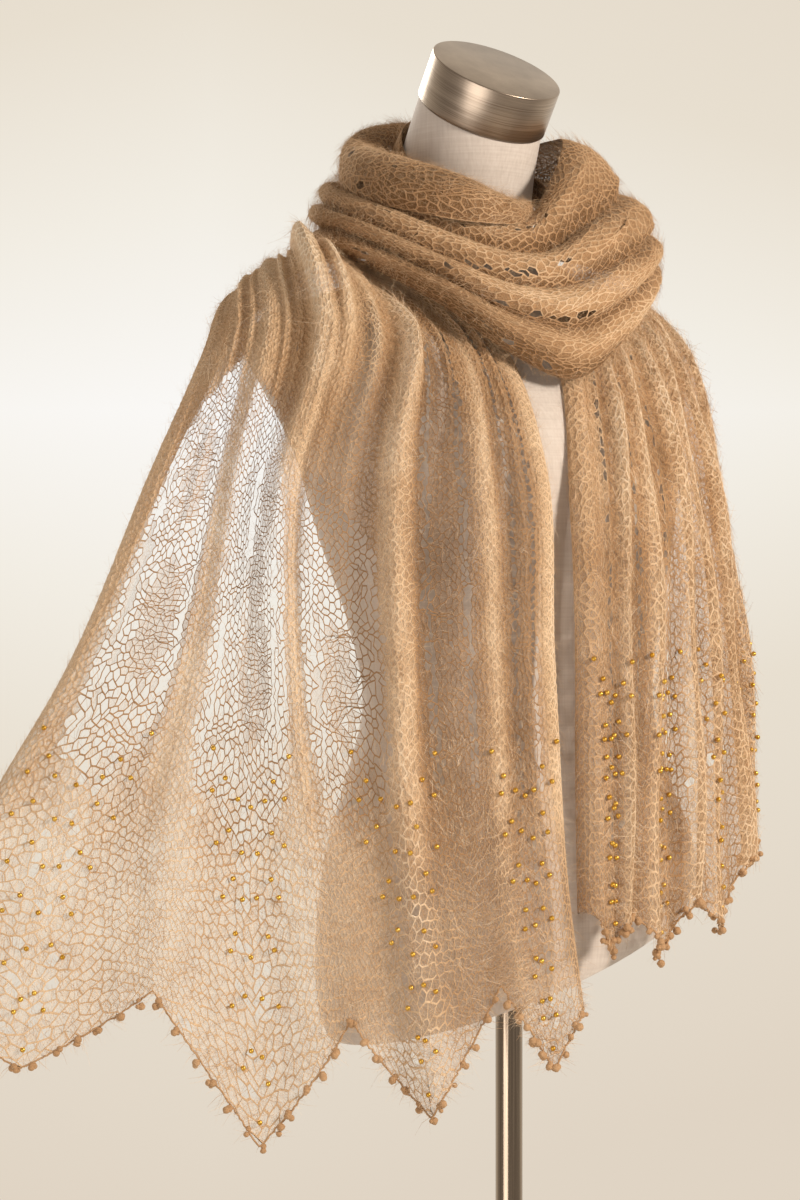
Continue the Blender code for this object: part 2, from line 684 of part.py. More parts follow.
def pole(material, collection):
    """The tube's top is cut to the slant of the form's underside."""
    bottom = BASE_HEIGHT + SEAM_GAP
    shape = bmesh.new()
    bmesh.ops.create_cone(shape, cap_ends=True, segments=32, depth=1.0,
                          radius1=POLE_RADIUS, radius2=POLE_RADIUS)
    for vert in shape.verts:
        top = UNDERSIDE_HEIGHT + UNDERSIDE_SLOPE * vert.co.x - SEAM_GAP * 1.2
        vert.co.z = top if vert.co.z > 0 else bottom
    return add_object("pole", finish_bmesh(shape, "pole"), material, collection)


def main():
    clear_scene()
    parts = make_collection("lace_shawl_on_dress_form")
    mohair = make_material("camel_mohair", MOHAIR, 0.85)
    edge = make_material("camel_mohair_edge", MOHAIR_EDGE, 0.85)
    jersey = make_material("white_jersey", JERSEY, 0.8)
    steel = make_material("brushed_steel", STEEL, 0.35, 1.0)
    chrome = make_material("polished_chrome", CHROME, 0.12, 1.0)
    base_plate(steel, parts)
    pole_collar(chrome, parts)
    pole(chrome, parts)
    dress_form(jersey, parts)
    neck_cap(steel, parts)
    hanging_end("right_end", RIGHT_END, RIGHT_COLUMNS, RIGHT_ROWS, mohair, parts)
    hanging_end("left_end", LEFT_END, LEFT_COLUMNS, LEFT_ROWS, mohair, parts)
    picot_edge("right_picot_edge", RIGHT_END, RIGHT_CORD_RUN, edge, parts)
    picot_edge("left_picot_edge", LEFT_END, LEFT_CORD_RUN, edge, parts)
    inner_wrap("neck_wrap_inner", mohair, parts)
    top_roll("neck_wrap_roll", mohair, parts)
    wrap_stretch("neck_wrap_front", FRONT_WRAP, FRONT_WRAP_STEPS, mohair, parts)
    wrap_stretch("neck_wrap_back", BACK_WRAP, BACK_WRAP_STEPS, mohair, parts)


main()
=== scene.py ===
# Knitted mohair lace stole on a limbless dress form: the looks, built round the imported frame.
import math

import bmesh
import bpy
import numpy as np
from mathutils import Matrix, Vector


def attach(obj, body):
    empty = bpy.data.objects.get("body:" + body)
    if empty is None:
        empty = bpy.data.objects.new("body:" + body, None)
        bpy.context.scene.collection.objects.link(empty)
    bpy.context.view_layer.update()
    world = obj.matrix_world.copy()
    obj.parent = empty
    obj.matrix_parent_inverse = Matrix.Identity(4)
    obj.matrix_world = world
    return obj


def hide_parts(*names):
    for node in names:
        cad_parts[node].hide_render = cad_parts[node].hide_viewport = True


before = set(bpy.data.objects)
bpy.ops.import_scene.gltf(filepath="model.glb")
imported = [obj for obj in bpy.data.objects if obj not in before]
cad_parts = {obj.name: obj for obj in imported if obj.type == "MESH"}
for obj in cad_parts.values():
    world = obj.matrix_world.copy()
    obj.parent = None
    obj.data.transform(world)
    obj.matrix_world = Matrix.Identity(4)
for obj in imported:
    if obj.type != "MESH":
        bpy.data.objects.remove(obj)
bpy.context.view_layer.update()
print("frame loaded")

probe = 1e-3
viewTurn = math.radians(35)  # the hanging ends are drawn as the photograph's camera sees them
neckMiddleY = 0.05
neckLean = math.radians(33)
quarters = np.array([0.0, 0.25, 0.5, 0.75, 1.0])

# height, half width, half depth, middle, slope, lean
formRings = (
    (0.837, 0.163, 0.112, 0.000, 0.33, 0.0),
    (0.875, 0.170, 0.115, 0.000, 0.22, 0.0),
    (0.930, 0.163, 0.111, 0.000, 0.08, 0.0),
    (0.985, 0.142, 0.102, 0.000, 0.00, 0.0),
    (1.046, 0.126, 0.095, 0.000, 0.00, 0.0),
    (1.110, 0.137, 0.101, 0.005, 0.00, 0.0),
    (1.175, 0.157, 0.111, 0.014, 0.00, 0.0),
    (1.240, 0.174, 0.113, 0.024, 0.00, 0.0),
    (1.288, 0.196, 0.105, 0.038, 0.00, 0.0),
    (1.318, 0.210, 0.094, 0.049, 0.00, 0.0),
    (1.338, 0.203, 0.083, 0.056, 0.00, 0.0),
    (1.354, 0.176, 0.073, 0.061, 0.00, 0.0),
    (1.367, 0.140, 0.066, 0.065, 0.00, 0.0),
    (1.379, 0.106, 0.063, 0.068, 0.00, 0.0),
    (1.394, 0.081, 0.061, 0.070, 0.00, 0.2),
    (1.420, 0.068, 0.059, 0.069, 0.00, 0.45),
    (1.450, 0.060, 0.0565, 0.065, 0.00, 0.7),
    (1.485, 0.055, 0.0545, 0.053, 0.00, 0.9),
    (1.51875, 0.052, 0.052, 0.0382, 0.00, 1.0),
)


# Curves through the tables, for many places at once

def bend(place, knots, index, first, second, leave, arrive):
    width = knots[index + 1] - knots[index]
    s = np.clip((place - knots[index]) / width, 0, 1)
    if first.ndim > 1:
        s, width = s[:, None], width[:, None]
    rise = s * s * (3 - 2 * s)
    return first * (1 - rise) + second * rise + (leave * s * (1 - s) ** 2 + arrive * s * s * (s - 1)) * width


def throughRows(rows, place):
    # a row's first number is its place; the others are read between the rows
    rows = np.asarray(rows, float)
    knots, values = rows[:, 0], rows[:, 1:]
    slopes = np.gradient(values, knots, axis=0)
    i = np.clip(np.searchsorted(knots, place) - 1, 0, len(knots) - 2)
    return bend(place, knots, i, values[i], values[i + 1], slopes[i], slopes[i + 1])


def throughOwn(knots, values, place):
    # each place has a row of its own
    slopes = np.gradient(values, knots, axis=1)
    i = np.clip(np.searchsorted(knots, place) - 1, 0, len(knots) - 2)
    n = np.arange(len(place))
    return bend(place, knots, i, values[n, i], values[n, i + 1], slopes[n, i], slopes[n, i + 1])


def ramp(value, start, end):
    s = np.clip((np.asarray(value, float) - start) / (end - start), 0, 1)
    return s * s * (3 - 2 * s)


def mix(first, second, share):
    return first + (second - first) * share


def unit(vectors):
    return vectors / np.maximum(np.linalg.norm(vectors, axis=1), 1e-9)[:, None]


def hump(value, middle, halfWidth):
    d = (value - middle) / halfWidth
    return np.exp(-d * d)


# The hanging ends. A row has its place along the end, then across, toward or up of the view at the
# quarters of the width.
cloth = {
    "clearance": 0.006,
    "shoulderClearance": 0.022,
    "rollClearance": 0.0012,
    "shoulderRollClearance": 0.014,
    "ease": 0.003,
    "shoulderRise": (1.34, 1.40),
    "pointsRun": (0.66, 1.34),
    "pointSharpness": 0.9,
    "foldRunIn": 0.17,
    "foldsEnd": 0.85,
    "swell": 0.25,
    "sway": 0.004,
    "rollPlaces": (0.15, 0.55, 1.0),
}
rightEnd = {
    "side": 1,
    "across": (
        (0.00, -0.181, -0.165, -0.147, -0.128, -0.108),
        (0.12, -0.205, -0.185, -0.163, -0.142, -0.119),
        (0.22, -0.229, -0.193, -0.146, -0.106, -0.066),
        (0.34, -0.244, -0.190, -0.128, -0.060, -0.010),
        (0.52, -0.292, -0.214, -0.156, -0.048, 0.038),
        (0.70, -0.356, -0.238, -0.156, -0.041, 0.042),
        (0.87, -0.440, -0.268, -0.138, -0.030, 0.050),
        (1.00, -0.474, -0.272, -0.124, -0.012, 0.064),
    ),
    "toward": (
        (0.00, -0.032, -0.050, -0.068, -0.085, -0.1015),
        (0.12, 0.018, 0.006, -0.008, -0.022, -0.036),
        (0.22, 0.062, 0.060, 0.056, 0.040, 0.020),
        (0.34, 0.090, 0.110, 0.113, 0.082, 0.057),
        (0.52, 0.105, 0.122, 0.134, 0.133, 0.112),
        (0.70, 0.120, 0.130, 0.140, 0.138, 0.122),
        (0.87, 0.150, 0.150, 0.152, 0.154, 0.140),
        (1.00, 0.165, 0.165, 0.162, 0.160, 0.148),
    ),
    "up": (
        (0.00, 1.385, 1.395, 1.404, 1.412, 1.420),
        (0.12, 1.372, 1.392, 1.402, 1.402, 1.405),
        (0.22, 1.350, 1.381, 1.397, 1.381, 1.385),
        (0.34, 1.318, 1.331, 1.335, 1.330, 1.335),
        (0.52, 1.222, 1.216, 1.213, 1.213, 1.222),
        (0.70, 1.085, 1.076, 1.071, 1.072, 1.083),
        (0.87, 0.948, 0.938, 0.926, 0.930, 0.938),
        (1.00, 0.840, 0.834, 0.812, 0.838, 0.846),
    ),
    # start, place at the shoulder, place at the hem, half width, height, height at the hem
    "folds": (
        (0.24, 0.12, 0.12, 0.050, 0.004, 0.010),
        (0.24, 0.27, 0.26, 0.040, 0.008, 0.006),
        (0.22, 0.42, 0.45, 0.034, 0.021, 0.005),
        (0.26, 0.50, 0.51, 0.026, 0.011, 0.003),
        (0.38, 0.575, 0.57, 0.024, 0.009, 0.002),
        (0.42, 0.665, 0.635, 0.030, 0.028, 0.017),
        (0.48, 0.80, 0.81, 0.030, 0.008, 0.004),
    ),
    # finer creases of the gathered knit, in the same columns
    "creases": (
        (0.20, 0.06, 0.07, 0.011, 0.003, 0.001),
        (0.22, 0.155, 0.17, 0.010, 0.004, 0.0015),
        (0.20, 0.205, 0.215, 0.012, 0.0045, 0.002),
        (0.24, 0.325, 0.33, 0.011, 0.005, 0.0015),
        (0.20, 0.365, 0.375, 0.010, 0.004, 0.001),
        (0.22, 0.455, 0.47, 0.009, 0.005, 0.001),
        (0.26, 0.535, 0.54, 0.010, 0.003, 0.0008),
        (0.30, 0.615, 0.60, 0.009, 0.0025, 0.0010),
        (0.34, 0.70, 0.69, 0.010, 0.0035, 0.0010),
        (0.32, 0.75, 0.755, 0.012, 0.003, 0.001),
        (0.36, 0.845, 0.85, 0.011, 0.003, 0.0010),
        (0.34, 0.90, 0.895, 0.010, 0.003, 0.0015),
    ),
    "points": (0.062, 0.104, 0.084, 0.070),
    # share of the width, length, and turn beside the neck, at the chest and at the hem
    "outerRoll": (0.062, 0.030, 2.6, 3.0, 0.5),
    "innerRoll": (0.062, 0.032, 0.3, 2.6, 2.2),
    "cordRun": (0.005, 0.974),
    "columns": 112,
    "rows": 104,
    "flat": (0.56, 0.66),
}
leftEnd = {
    "side": -1,
    "across": (
        (0.00, 0.021, 0.001, -0.019, -0.039, -0.059),
        (0.13, 0.084, 0.063, 0.042, 0.021, 0.000),
        (0.25, 0.120, 0.103, 0.084, 0.064, 0.044),
        (0.40, 0.152, 0.132, 0.106, 0.076, 0.045),
        (0.60, 0.174, 0.158, 0.130, 0.090, 0.050),
        (0.80, 0.189, 0.172, 0.136, 0.090, 0.058),
        (1.00, 0.200, 0.181, 0.137, 0.088, 0.062),
    ),
    "toward": (
        (0.00, -0.179, -0.169, -0.158, -0.147, -0.136),
        (0.13, -0.167, -0.156, -0.145, -0.133, -0.121),
        (0.25, -0.132, -0.112, -0.090, -0.068, -0.046),
        (0.40, -0.074, -0.050, -0.024, 0.002, 0.030),
        (0.60, -0.058, -0.012, 0.038, 0.086, 0.112),
        (0.80, -0.062, -0.010, 0.046, 0.096, 0.120),
        (1.00, -0.066, -0.008, 0.056, 0.108, 0.132),
    ),
    "up": (
        (0.00, 1.385, 1.395, 1.404, 1.412, 1.420),
        (0.13, 1.378, 1.388, 1.394, 1.400, 1.405),
        (0.25, 1.372, 1.380, 1.378, 1.376, 1.385),
        (0.40, 1.316, 1.320, 1.326, 1.330, 1.333),
        (0.60, 1.196, 1.194, 1.192, 1.190, 1.192),
        (0.80, 1.075, 1.060, 1.048, 1.040, 1.040),
        (1.00, 0.965, 0.920, 0.904, 0.893, 0.895),
    ),
    "folds": (
        (0.40, 0.10, 0.10, 0.032, 0.010, 0.014),
        (0.42, 0.24, 0.24, 0.034, 0.014, 0.016),
        (0.44, 0.38, 0.40, 0.032, 0.012, 0.015),
        (0.46, 0.52, 0.52, 0.034, 0.015, 0.018),
        (0.50, 0.66, 0.68, 0.034, 0.013, 0.014),
        (0.52, 0.80, 0.80, 0.030, 0.014, 0.012),
    ),
    "creases": (
        (0.36, 0.05, 0.05, 0.014, 0.003, 0.003),
        (0.34, 0.17, 0.17, 0.014, 0.004, 0.003),
        (0.36, 0.31, 0.32, 0.015, 0.005, 0.003),
        (0.36, 0.45, 0.46, 0.014, 0.005, 0.004),
        (0.38, 0.59, 0.60, 0.016, 0.004, 0.003),
        (0.38, 0.73, 0.74, 0.014, 0.005, 0.002),
        (0.40, 0.87, 0.87, 0.013, 0.004, 0.002),
    ),
    "points": (0.024, 0.046, 0.046, 0.034),
    "outerRoll": (0.066, 0.028, 0.3, 1.2, 0.8),
    "innerRoll": (0.066, 0.030, 0.3, 2.6, 2.0),
    "cordRun": (0.005, 0.948),
    "columns": 84,
    "rows": 84,
    "flat": (0.40, 0.54),
}


def clearOfForm(points, clearance):
    z = points[:, 2]
    middleY, slope, lean = throughRows(formRings, z).T[2:]
    level = z - (points[:, 1] - middleY) * np.tan(neckLean * lean) - slope * points[:, 0]
    halfWidth, halfDepth, middleY, slope, lean = throughRows(formRings, level).T
    x, y = points[:, 0], points[:, 1] - middleY
    share = np.maximum(np.hypot(x / halfWidth, y / halfDepth), 1e-6)
    reach = np.hypot(x, y) / share
    away = (share - 1) * reach
    eased = (away + clearance + np.hypot(away - clearance, cloth["ease"])) / 2
    grow = (1 + eased / reach) / share
    return np.column_stack([x * grow, y * grow + middleY, z])


def hemDrop(end, u, v):
    count = len(end["points"])
    index = np.clip((u * count).astype(int), 0, count - 1)
    tip = np.clip(1 - np.abs(2 * (u * count - index) - 1), 0, 1) ** cloth["pointSharpness"]
    grown = ramp(v, *cloth["pointsRun"]) / ramp(1.0, *cloth["pointsRun"])
    return np.array(end["points"])[index] * tip * grown


def endBase(end, u, v):
    u = np.clip(u, end["outerRoll"][0], 1 - end["innerRoll"][0])
    across, toward, up = (throughOwn(quarters, throughRows(end[key], v), u)
                          for key in ("across", "toward", "up"))
    x = across * math.cos(viewTurn) - toward * math.sin(viewTurn)
    y = -across * math.sin(viewTurn) - toward * math.cos(viewTurn)
    z = up - hemDrop(end, u, v)
    clearance = mix(cloth["clearance"], cloth["shoulderClearance"], ramp(z, *cloth["shoulderRise"]))
    return clearOfForm(np.column_stack([x, y, z]), clearance)


def foldHeight(end, u, v):
    total = np.zeros(len(u))
    for start, top, hem, halfWidth, height, hemHeight in end["folds"] + end["creases"]:
        size = mix(height, hemHeight, ramp(v, start, cloth["foldsEnd"]))
        size = size * ramp(v, start - cloth["foldRunIn"], start)
        size = size * (1 + cloth["swell"] * np.sin(17 * v + 70 * top))
        sway = cloth["sway"] * np.sin(11 * v + 40 * top) * ramp(v, 0.25, 0.5)
        total += size * hump(u, mix(top, hem, v) + sway, halfWidth)
    return total


def endPoint(end, u, v, relief=0.0):
    outer, inner = end["outerRoll"], end["innerRoll"]
    outward = np.where(u < 0.5, -1.0, 1.0)
    held = np.clip(u, outer[0], 1 - inner[0])
    rolled = held != u
    inside = np.where(rolled, held - outward * probe, u)
    height = foldHeight(end, held, v)
    relief = np.broadcast_to(relief, u.shape)

    def lifted(place, rise):
        side = endBase(end, place + probe, v) - endBase(end, place - probe, v)
        down = endBase(end, place, v + probe) - endBase(end, place, v - probe)
        return endBase(end, place, v) + unit(np.cross(down, side)) * (end["side"] * rise)[:, None], down

    seat, down = lifted(inside, height)
    points, _ = lifted(inside, height + relief)
    if rolled.any():
        before, _ = lifted(inside - outward * probe * 4, height)
        side = unit(seat - before)
        back = unit(np.cross(side, down)) * (outward * end["side"])[:, None]
        share = np.where(outward < 0, outer[0], inner[0])
        length = np.where(outward < 0, outer[1], inner[1])
        turns = [throughRows(np.column_stack([cloth["rollPlaces"], roll[2:]]), v)[:, 0]
                 for roll in (outer, inner)]
        turn = np.where(outward < 0, *turns)
        angle = turn * np.abs(held - u) / share
        out, deep = length * np.sin(angle) / turn, length * (1 - np.cos(angle)) / turn
        out += relief * np.sin(angle)
        deep -= relief * np.cos(angle)
        curled = seat + side * out[:, None] + back * deep[:, None]
        clearance = mix(cloth["rollClearance"], cloth["shoulderRollClearance"],
                        ramp(seat[:, 2], *cloth["shoulderRise"]))
        points = np.where(rolled[:, None], clearOfForm(curled, clearance), points)
    return points


# The neck wrap, measured round an upright line through the neck, from the front toward the form's right.
neckWrap = {
    # angle, top radius and height, middle radius and height, bottom radius and height
    "places": (
        (-180, 0.094, 1.508, 0.114, 1.474, 0.118, 1.4253),
        (-120, 0.085, 1.506, 0.126, 1.466, 0.132, 1.420),
        (-85, 0.079, 1.509, 0.136, 1.452, 0.142, 1.404),
        (-50, 0.078, 1.500, 0.142, 1.428, 0.146, 1.378),
        (-20, 0.074, 1.462, 0.134, 1.394, 0.146, 1.328),
        (0, 0.072, 1.432, 0.130, 1.370, 0.143, 1.302),
        (20, 0.072, 1.428, 0.128, 1.366, 0.140, 1.318),
        (45, 0.076, 1.434, 0.126, 1.386, 0.137, 1.358),
        (80, 0.088, 1.448, 0.127, 1.422, 0.133, 1.393),
        (125, 0.090, 1.474, 0.122, 1.452, 0.127, 1.409),
        (180, 0.094, 1.508, 0.114, 1.474, 0.118, 1.4253),
    ),
    "rolls": 4,
    "rollHeight": 0.0135,
    "rollSharpness": 0.75,
    "rollSink": 0.50,
    "drift": 0.35,
    "driftTurns": 1.5,
    "driftFrom": 20.0,
    "hook": 0.009,
    "hookShare": 0.1,
    "hookBulge": 0.25,
    "creaseWave": 0.035,
    # creases between the rolls: share of the depth, half width, height, waves round the neck, phase
    "creases": (
        (0.13, 0.018, 0.0022, 2.0, 0.3),
        (0.30, 0.016, 0.0026, 3.0, 1.2),
        (0.40, 0.014, -0.0020, 2.0, 2.6),
        (0.56, 0.016, 0.0026, 3.0, 0.8),
        (0.67, 0.014, -0.0018, 4.0, 1.9),
        (0.83, 0.017, 0.0024, 2.0, 2.9),
    ),
    "frontAngles": (-120.0, 150.0),
    "backAngles": (150.3, 239.7),
}
topRoll = {
    # angle, middle radius and height, radius of the roll
    "places": (
        (-4, 0.068, 1.436, 0.006),
        (10, 0.076, 1.430, 0.013),
        (35, 0.083, 1.434, 0.022),
        (75, 0.0900, 1.451, 0.0235),
        (125, 0.0880, 1.478, 0.021),
        (165, 0.086, 1.507, 0.016),
        (185, 0.085, 1.512, 0.010),
    ),
    "angles": (-4, 185),
    "opening": math.radians(110),
    "strands": 3,
    "strandHeight": 0.0022,
    "strandTwist": 2.2,
    "strandsFrom": (0.006, 0.018),  # radii of the roll
}
innerWrap = {
    # angle, top radius and height, bottom radius and height
    "places": (
        (-262, 0.0588, 1.482, 0.0623, 1.456),
        (-225, 0.0563, 1.512, 0.0658, 1.472),
        (-190, 0.0543, 1.522, 0.0703, 1.476),
        (-145, 0.0583, 1.506, 0.0683, 1.470),
        (-100, 0.0598, 1.480, 0.0628, 1.455),
        (-60, 0.0625, 1.458, 0.0680, 1.428),
        (-35, 0.0665, 1.436, 0.0710, 1.412),
    ),
    "bulge": 0.004,
    "angles": (-262, -38),
}


def aroundNeck(angle, radius, height):
    turn = np.radians(angle)
    return np.column_stack([-radius * np.sin(turn), neckMiddleY - radius * np.cos(turn), height])


def wrapBase(angle, s):
    values = throughRows(neckWrap["places"], angle)
    halves = np.array([0.0, 0.5, 1.0])
    return aroundNeck(angle, throughOwn(halves, values[:, 0::2], s), throughOwn(halves, values[:, 1::2], s))


def rollWave(angle, held):
    # from 0 between two rolls to 1 on a roll's crest
    turn = np.radians((angle + 180) % 360 - 180)
    drift = neckWrap["drift"] * np.sin(turn * neckWrap["driftTurns"] + math.radians(neckWrap["driftFrom"]))
    return np.abs(np.sin(math.pi * (neckWrap["rolls"] * held + drift * held * (1 - held) * 4)))


def rollShare(angle, s):
    return rollWave(angle, np.minimum(s / (1 - neckWrap["hookShare"]), 1))


def wrapPoint(angle, s, relief=0.0):
    w = neckWrap
    hookFrom = 1 - w["hookShare"]
    hook = np.maximum(s - hookFrom, 0) / w["hookShare"]
    held = np.minimum(s, hookFrom) / hookFrom
    angle = (angle + 180) % 360 - 180
    side = wrapBase(angle + 1, held) - wrapBase(angle - 1, held)
    down = unit(wrapBase(angle, held + 0.02) - wrapBase(angle, held - 0.02))
    normal = unit(np.cross(side, down))
    turn = np.radians(angle)
    wave = rollWave(angle, held)
    height = w["rollHeight"] * (wave ** w["rollSharpness"] - w["rollSink"]) - w["hook"] * hook
    for share, halfWidth, size, waves, phase in w["creases"]:
        middle = share + w["creaseWave"] * np.sin(turn * waves + phase)
        height += size * (0.7 + 0.5 * np.sin(turn * 2 + phase * 3)) * hump(held, middle, halfWidth)
    bulge = w["hook"] * w["hookBulge"] * np.sin(math.pi * hook)
    return wrapBase(angle, held) + normal * (height + relief)[:, None] + down * bulge[:, None]


def topRollPoint(angle, s, relief=0.0):
    middleR, middleZ, radius = throughRows(topRoll["places"], angle).T
    turn = -math.pi / 2 + topRoll["opening"] / 2 + (2 * math.pi - topRoll["opening"]) * s
    twist = turn * topRoll["strands"] + np.radians(angle) * topRoll["strandTwist"]
    strands = topRoll["strandHeight"] * np.sin(twist) * ramp(radius, *topRoll["strandsFrom"])
    grown = radius + strands + relief
    return aroundNeck(angle, middleR + grown * np.cos(turn), middleZ + grown * np.sin(turn))


def innerWrapPoint(angle, s, relief=0.0):
    topR, topZ, lowR, lowZ = throughRows(innerWrap["places"], angle).T
    radius = mix(topR, lowR, s) + innerWrap["bulge"] * np.sin(math.pi * s) + relief
    return aroundNeck(angle, radius, mix(topZ, lowZ, s))


# Materials

def linear(code):
    # a hexadecimal colour as Blender's linear values
    parts = [int(code[i:i + 2], 16) / 255 for i in (0, 2, 4)]
    return tuple(c / 12.92 if c <= 0.04045 else ((c + 0.055) / 1.055) ** 2.4 for c in parts) + (1.0,)


def addNode(tree, kind, inputs=(), **settings):
    node = tree.nodes.new(kind)
    for name, value in settings.items():
        setattr(node, name, value)
    for name, value in dict(inputs).items():
        socket = node.inputs[name]
        if isinstance(value, bpy.types.NodeSocket):
            tree.links.new(value, socket)
        else:
            socket.default_value = value
    return node


def maths(tree, operation, *values, clamp=False):
    inputs = dict(enumerate(values))
    return addNode(tree, "ShaderNodeMath", inputs, operation=operation, use_clamp=clamp).outputs[0]


def timesPlus(tree, first, times, plus):
    return maths(tree, "MULTIPLY_ADD", first, times, plus)


def objectPlace(tree):
    return addNode(tree, "ShaderNodeTexCoord").outputs["Object"]


def mapped(tree, place, **values):
    return addNode(tree, "ShaderNodeMapping", {"Vector": place, **values}).outputs["Vector"]


def meshValue(tree, name):
    return addNode(tree, "ShaderNodeAttribute", attribute_name=name).outputs["Fac"]


def noise(tree, place, scale, detail, roughness=0.5):
    values = {"Vector": place, "Scale": scale, "Detail": detail, "Roughness": roughness}
    return addNode(tree, "ShaderNodeTexNoise", values).outputs["Fac"]


def addBump(tree, shader, height, strength, distance):
    node = addNode(tree, "ShaderNodeBump", {"Height": height, "Strength": strength, "Distance": distance})
    tree.links.new(node.outputs["Normal"], shader.inputs["Normal"])


def addRamp(tree, factor, stops):
    node = addNode(tree, "ShaderNodeValToRGB", {"Fac": factor})
    elements = node.color_ramp.elements
    while len(elements) < len(stops):
        elements.new(0.5)
    for element, (place, colour) in zip(elements, stops):
        element.position = place
        element.color = linear(colour) if isinstance(colour, str) else (colour, colour, colour, 1)
    return node.outputs["Color"]


def newGroup(name, inputs, outputs):
    group = bpy.data.node_groups.new(name, "ShaderNodeTree")
    for label, kind, value in inputs:
        socket = group.interface.new_socket(label, in_out="INPUT", socket_type=kind)
        socket.default_value = value
    for label, kind in outputs:
        group.interface.new_socket(label, in_out="OUTPUT", socket_type=kind)
    return group, group.nodes.new("NodeGroupInput"), group.nodes.new("NodeGroupOutput")


def newMaterial(name, **sockets):
    material = bpy.data.materials.new(name)
    material.use_nodes = True
    tree = material.node_tree
    shader = tree.nodes["Principled BSDF"]
    for label, value in sockets.items():
        shader.inputs[label.replace("_", " ")].default_value = value
    return material, tree, shader


yarnLook = {
    "dark": "70502f",
    "mid": "b7916a",
    "light": "e0c4a2",
    "pale": "f0dfc8",
    "tones": ((0.0, "dark"), (0.4, "mid"), (0.75, "light"), (1.0, "pale")),
    "fibreScale": 900.0,
    "patchScale": 16.0,
}


def mohairTone():
    # tone of the mohair from the knit's shade value, which holds painted light and shade as well as its own
    # tone, with patches and fine fibres over it
    group, given, result = newGroup(
        "mohairTone",
        (("Shade", "NodeSocketFloat", 0.5), ("Patches", "NodeSocketFloat", 0.16),
         ("Fibres", "NodeSocketFloat", 0.22)),
        (("Color", "NodeSocketColor"), ("Height", "NodeSocketFloat")))
    place = objectPlace(group)
    patch = noise(group, place, yarnLook["patchScale"], 3.0)
    fibre = noise(group, place, yarnLook["fibreScale"], 4.0, 0.7)
    total = given.outputs["Shade"]
    for unevenness, size in ((patch, "Patches"), (fibre, "Fibres")):
        centred = maths(group, "SUBTRACT", unevenness, 0.5)
        sized = maths(group, "MULTIPLY", centred, given.outputs[size])
        total = timesPlus(group, sized, 3.0, total)
    tones = tuple((share, yarnLook[tone]) for share, tone in yarnLook["tones"])
    group.links.new(addRamp(group, total, tones), result.inputs["Color"])
    group.links.new(fibre, result.inputs["Height"])
    return group


toneGroup = mohairTone()


def addTone(tree, shade, shader):
    tone = addNode(tree, "ShaderNodeGroup", node_tree=toneGroup)
    tree.links.new(shade, tone.inputs["Shade"])
    tree.links.new(tone.outputs["Color"], shader.inputs["Base Color"])
    return tone


def yarnMaterial(name, shadeScale=1.0, shadeLift=0.0, sheen=0.35):
    material, tree, shader = newMaterial(name, Roughness=0.85, Sheen_Weight=sheen, Sheen_Roughness=0.5)
    shader.inputs["Sheen Tint"].default_value = linear("f6e3c4")
    tone = addTone(tree, timesPlus(tree, meshValue(tree, "shade"), shadeScale, shadeLift), shader)
    addBump(tree, shader, tone.outputs["Height"], 0.5, 0.0006)
    return material


def hazeMaterial():
    # the thin fur between the strands, with the smallest stitches left open
    material, tree, shader = newMaterial("mohairHaze", Roughness=0.95, Sheen_Weight=0.3, Sheen_Roughness=0.6)
    shader.inputs["Sheen Tint"].default_value = linear("f6e3c4")
    addTone(tree, meshValue(tree, "under"), shader)
    unwrapped = addNode(tree, "ShaderNodeUVMap", uv_map="knit").outputs["UV"]
    stitches = mapped(tree, unwrapped, Scale=(1.35, 0.72, 1.0))
    cells = addNode(tree, "ShaderNodeTexVoronoi", {"Vector": stitches, "Scale": 330.0},
                    feature="DISTANCE_TO_EDGE")
    strand = addRamp(tree, cells.outputs["Distance"], ((0.04, 1.0), (0.13, 0.0)))
    fine = addRamp(tree, noise(tree, stitches, 700.0, 3.0), ((0.42, 0.0), (0.62, 1.0)))
    cover = timesPlus(tree, fine, 0.40, timesPlus(tree, strand, 0.50, 0.52))
    alpha = maths(tree, "MULTIPLY", meshValue(tree, "haze"), cover, clamp=True)
    tree.links.new(alpha, shader.inputs["Alpha"])
    addBump(tree, shader, strand, 0.4, 0.0005)
    return material


strandYarn = yarnMaterial("mohairStrand")
edgeYarn = yarnMaterial("mohairEdge", shadeScale=0.6, shadeLift=0.14)
haloYarn = yarnMaterial("mohairHalo", shadeScale=0.6, shadeLift=0.42, sheen=0.6)
wrapHaloYarn = yarnMaterial("mohairWrapHalo", shadeScale=0.6, shadeLift=0.26, sheen=0.5)
haze = hazeMaterial()
print("mohair materials made")


# The knit: a net of cells, each with a ring of yarn and thin fur inside, carried onto the cloth

def newObject(name, shape, *materials):
    mesh = bpy.data.meshes.new(name)
    shape.to_mesh(mesh)
    shape.free()
    piece = bpy.data.objects.new(name, mesh)
    bpy.context.scene.collection.objects.link(piece)
    for material in materials:
        mesh.materials.append(material)
    mesh.shade_smooth()
    return piece


def readPoints(mesh):
    flat = np.empty(len(mesh.vertices) * 3, np.float32)
    mesh.vertices.foreach_get("co", flat)
    return flat.reshape(-1, 3).astype(float)


def placePoints(mesh, points):
    mesh.vertices.foreach_set("co", points.astype(np.float32).ravel())
    mesh.update()


def setShade(mesh, **values):
    for name, numbers in values.items():
        attribute = mesh.attributes.new(name, "FLOAT", "POINT")
        attribute.data.foreach_set("value", np.asarray(numbers, np.float32))


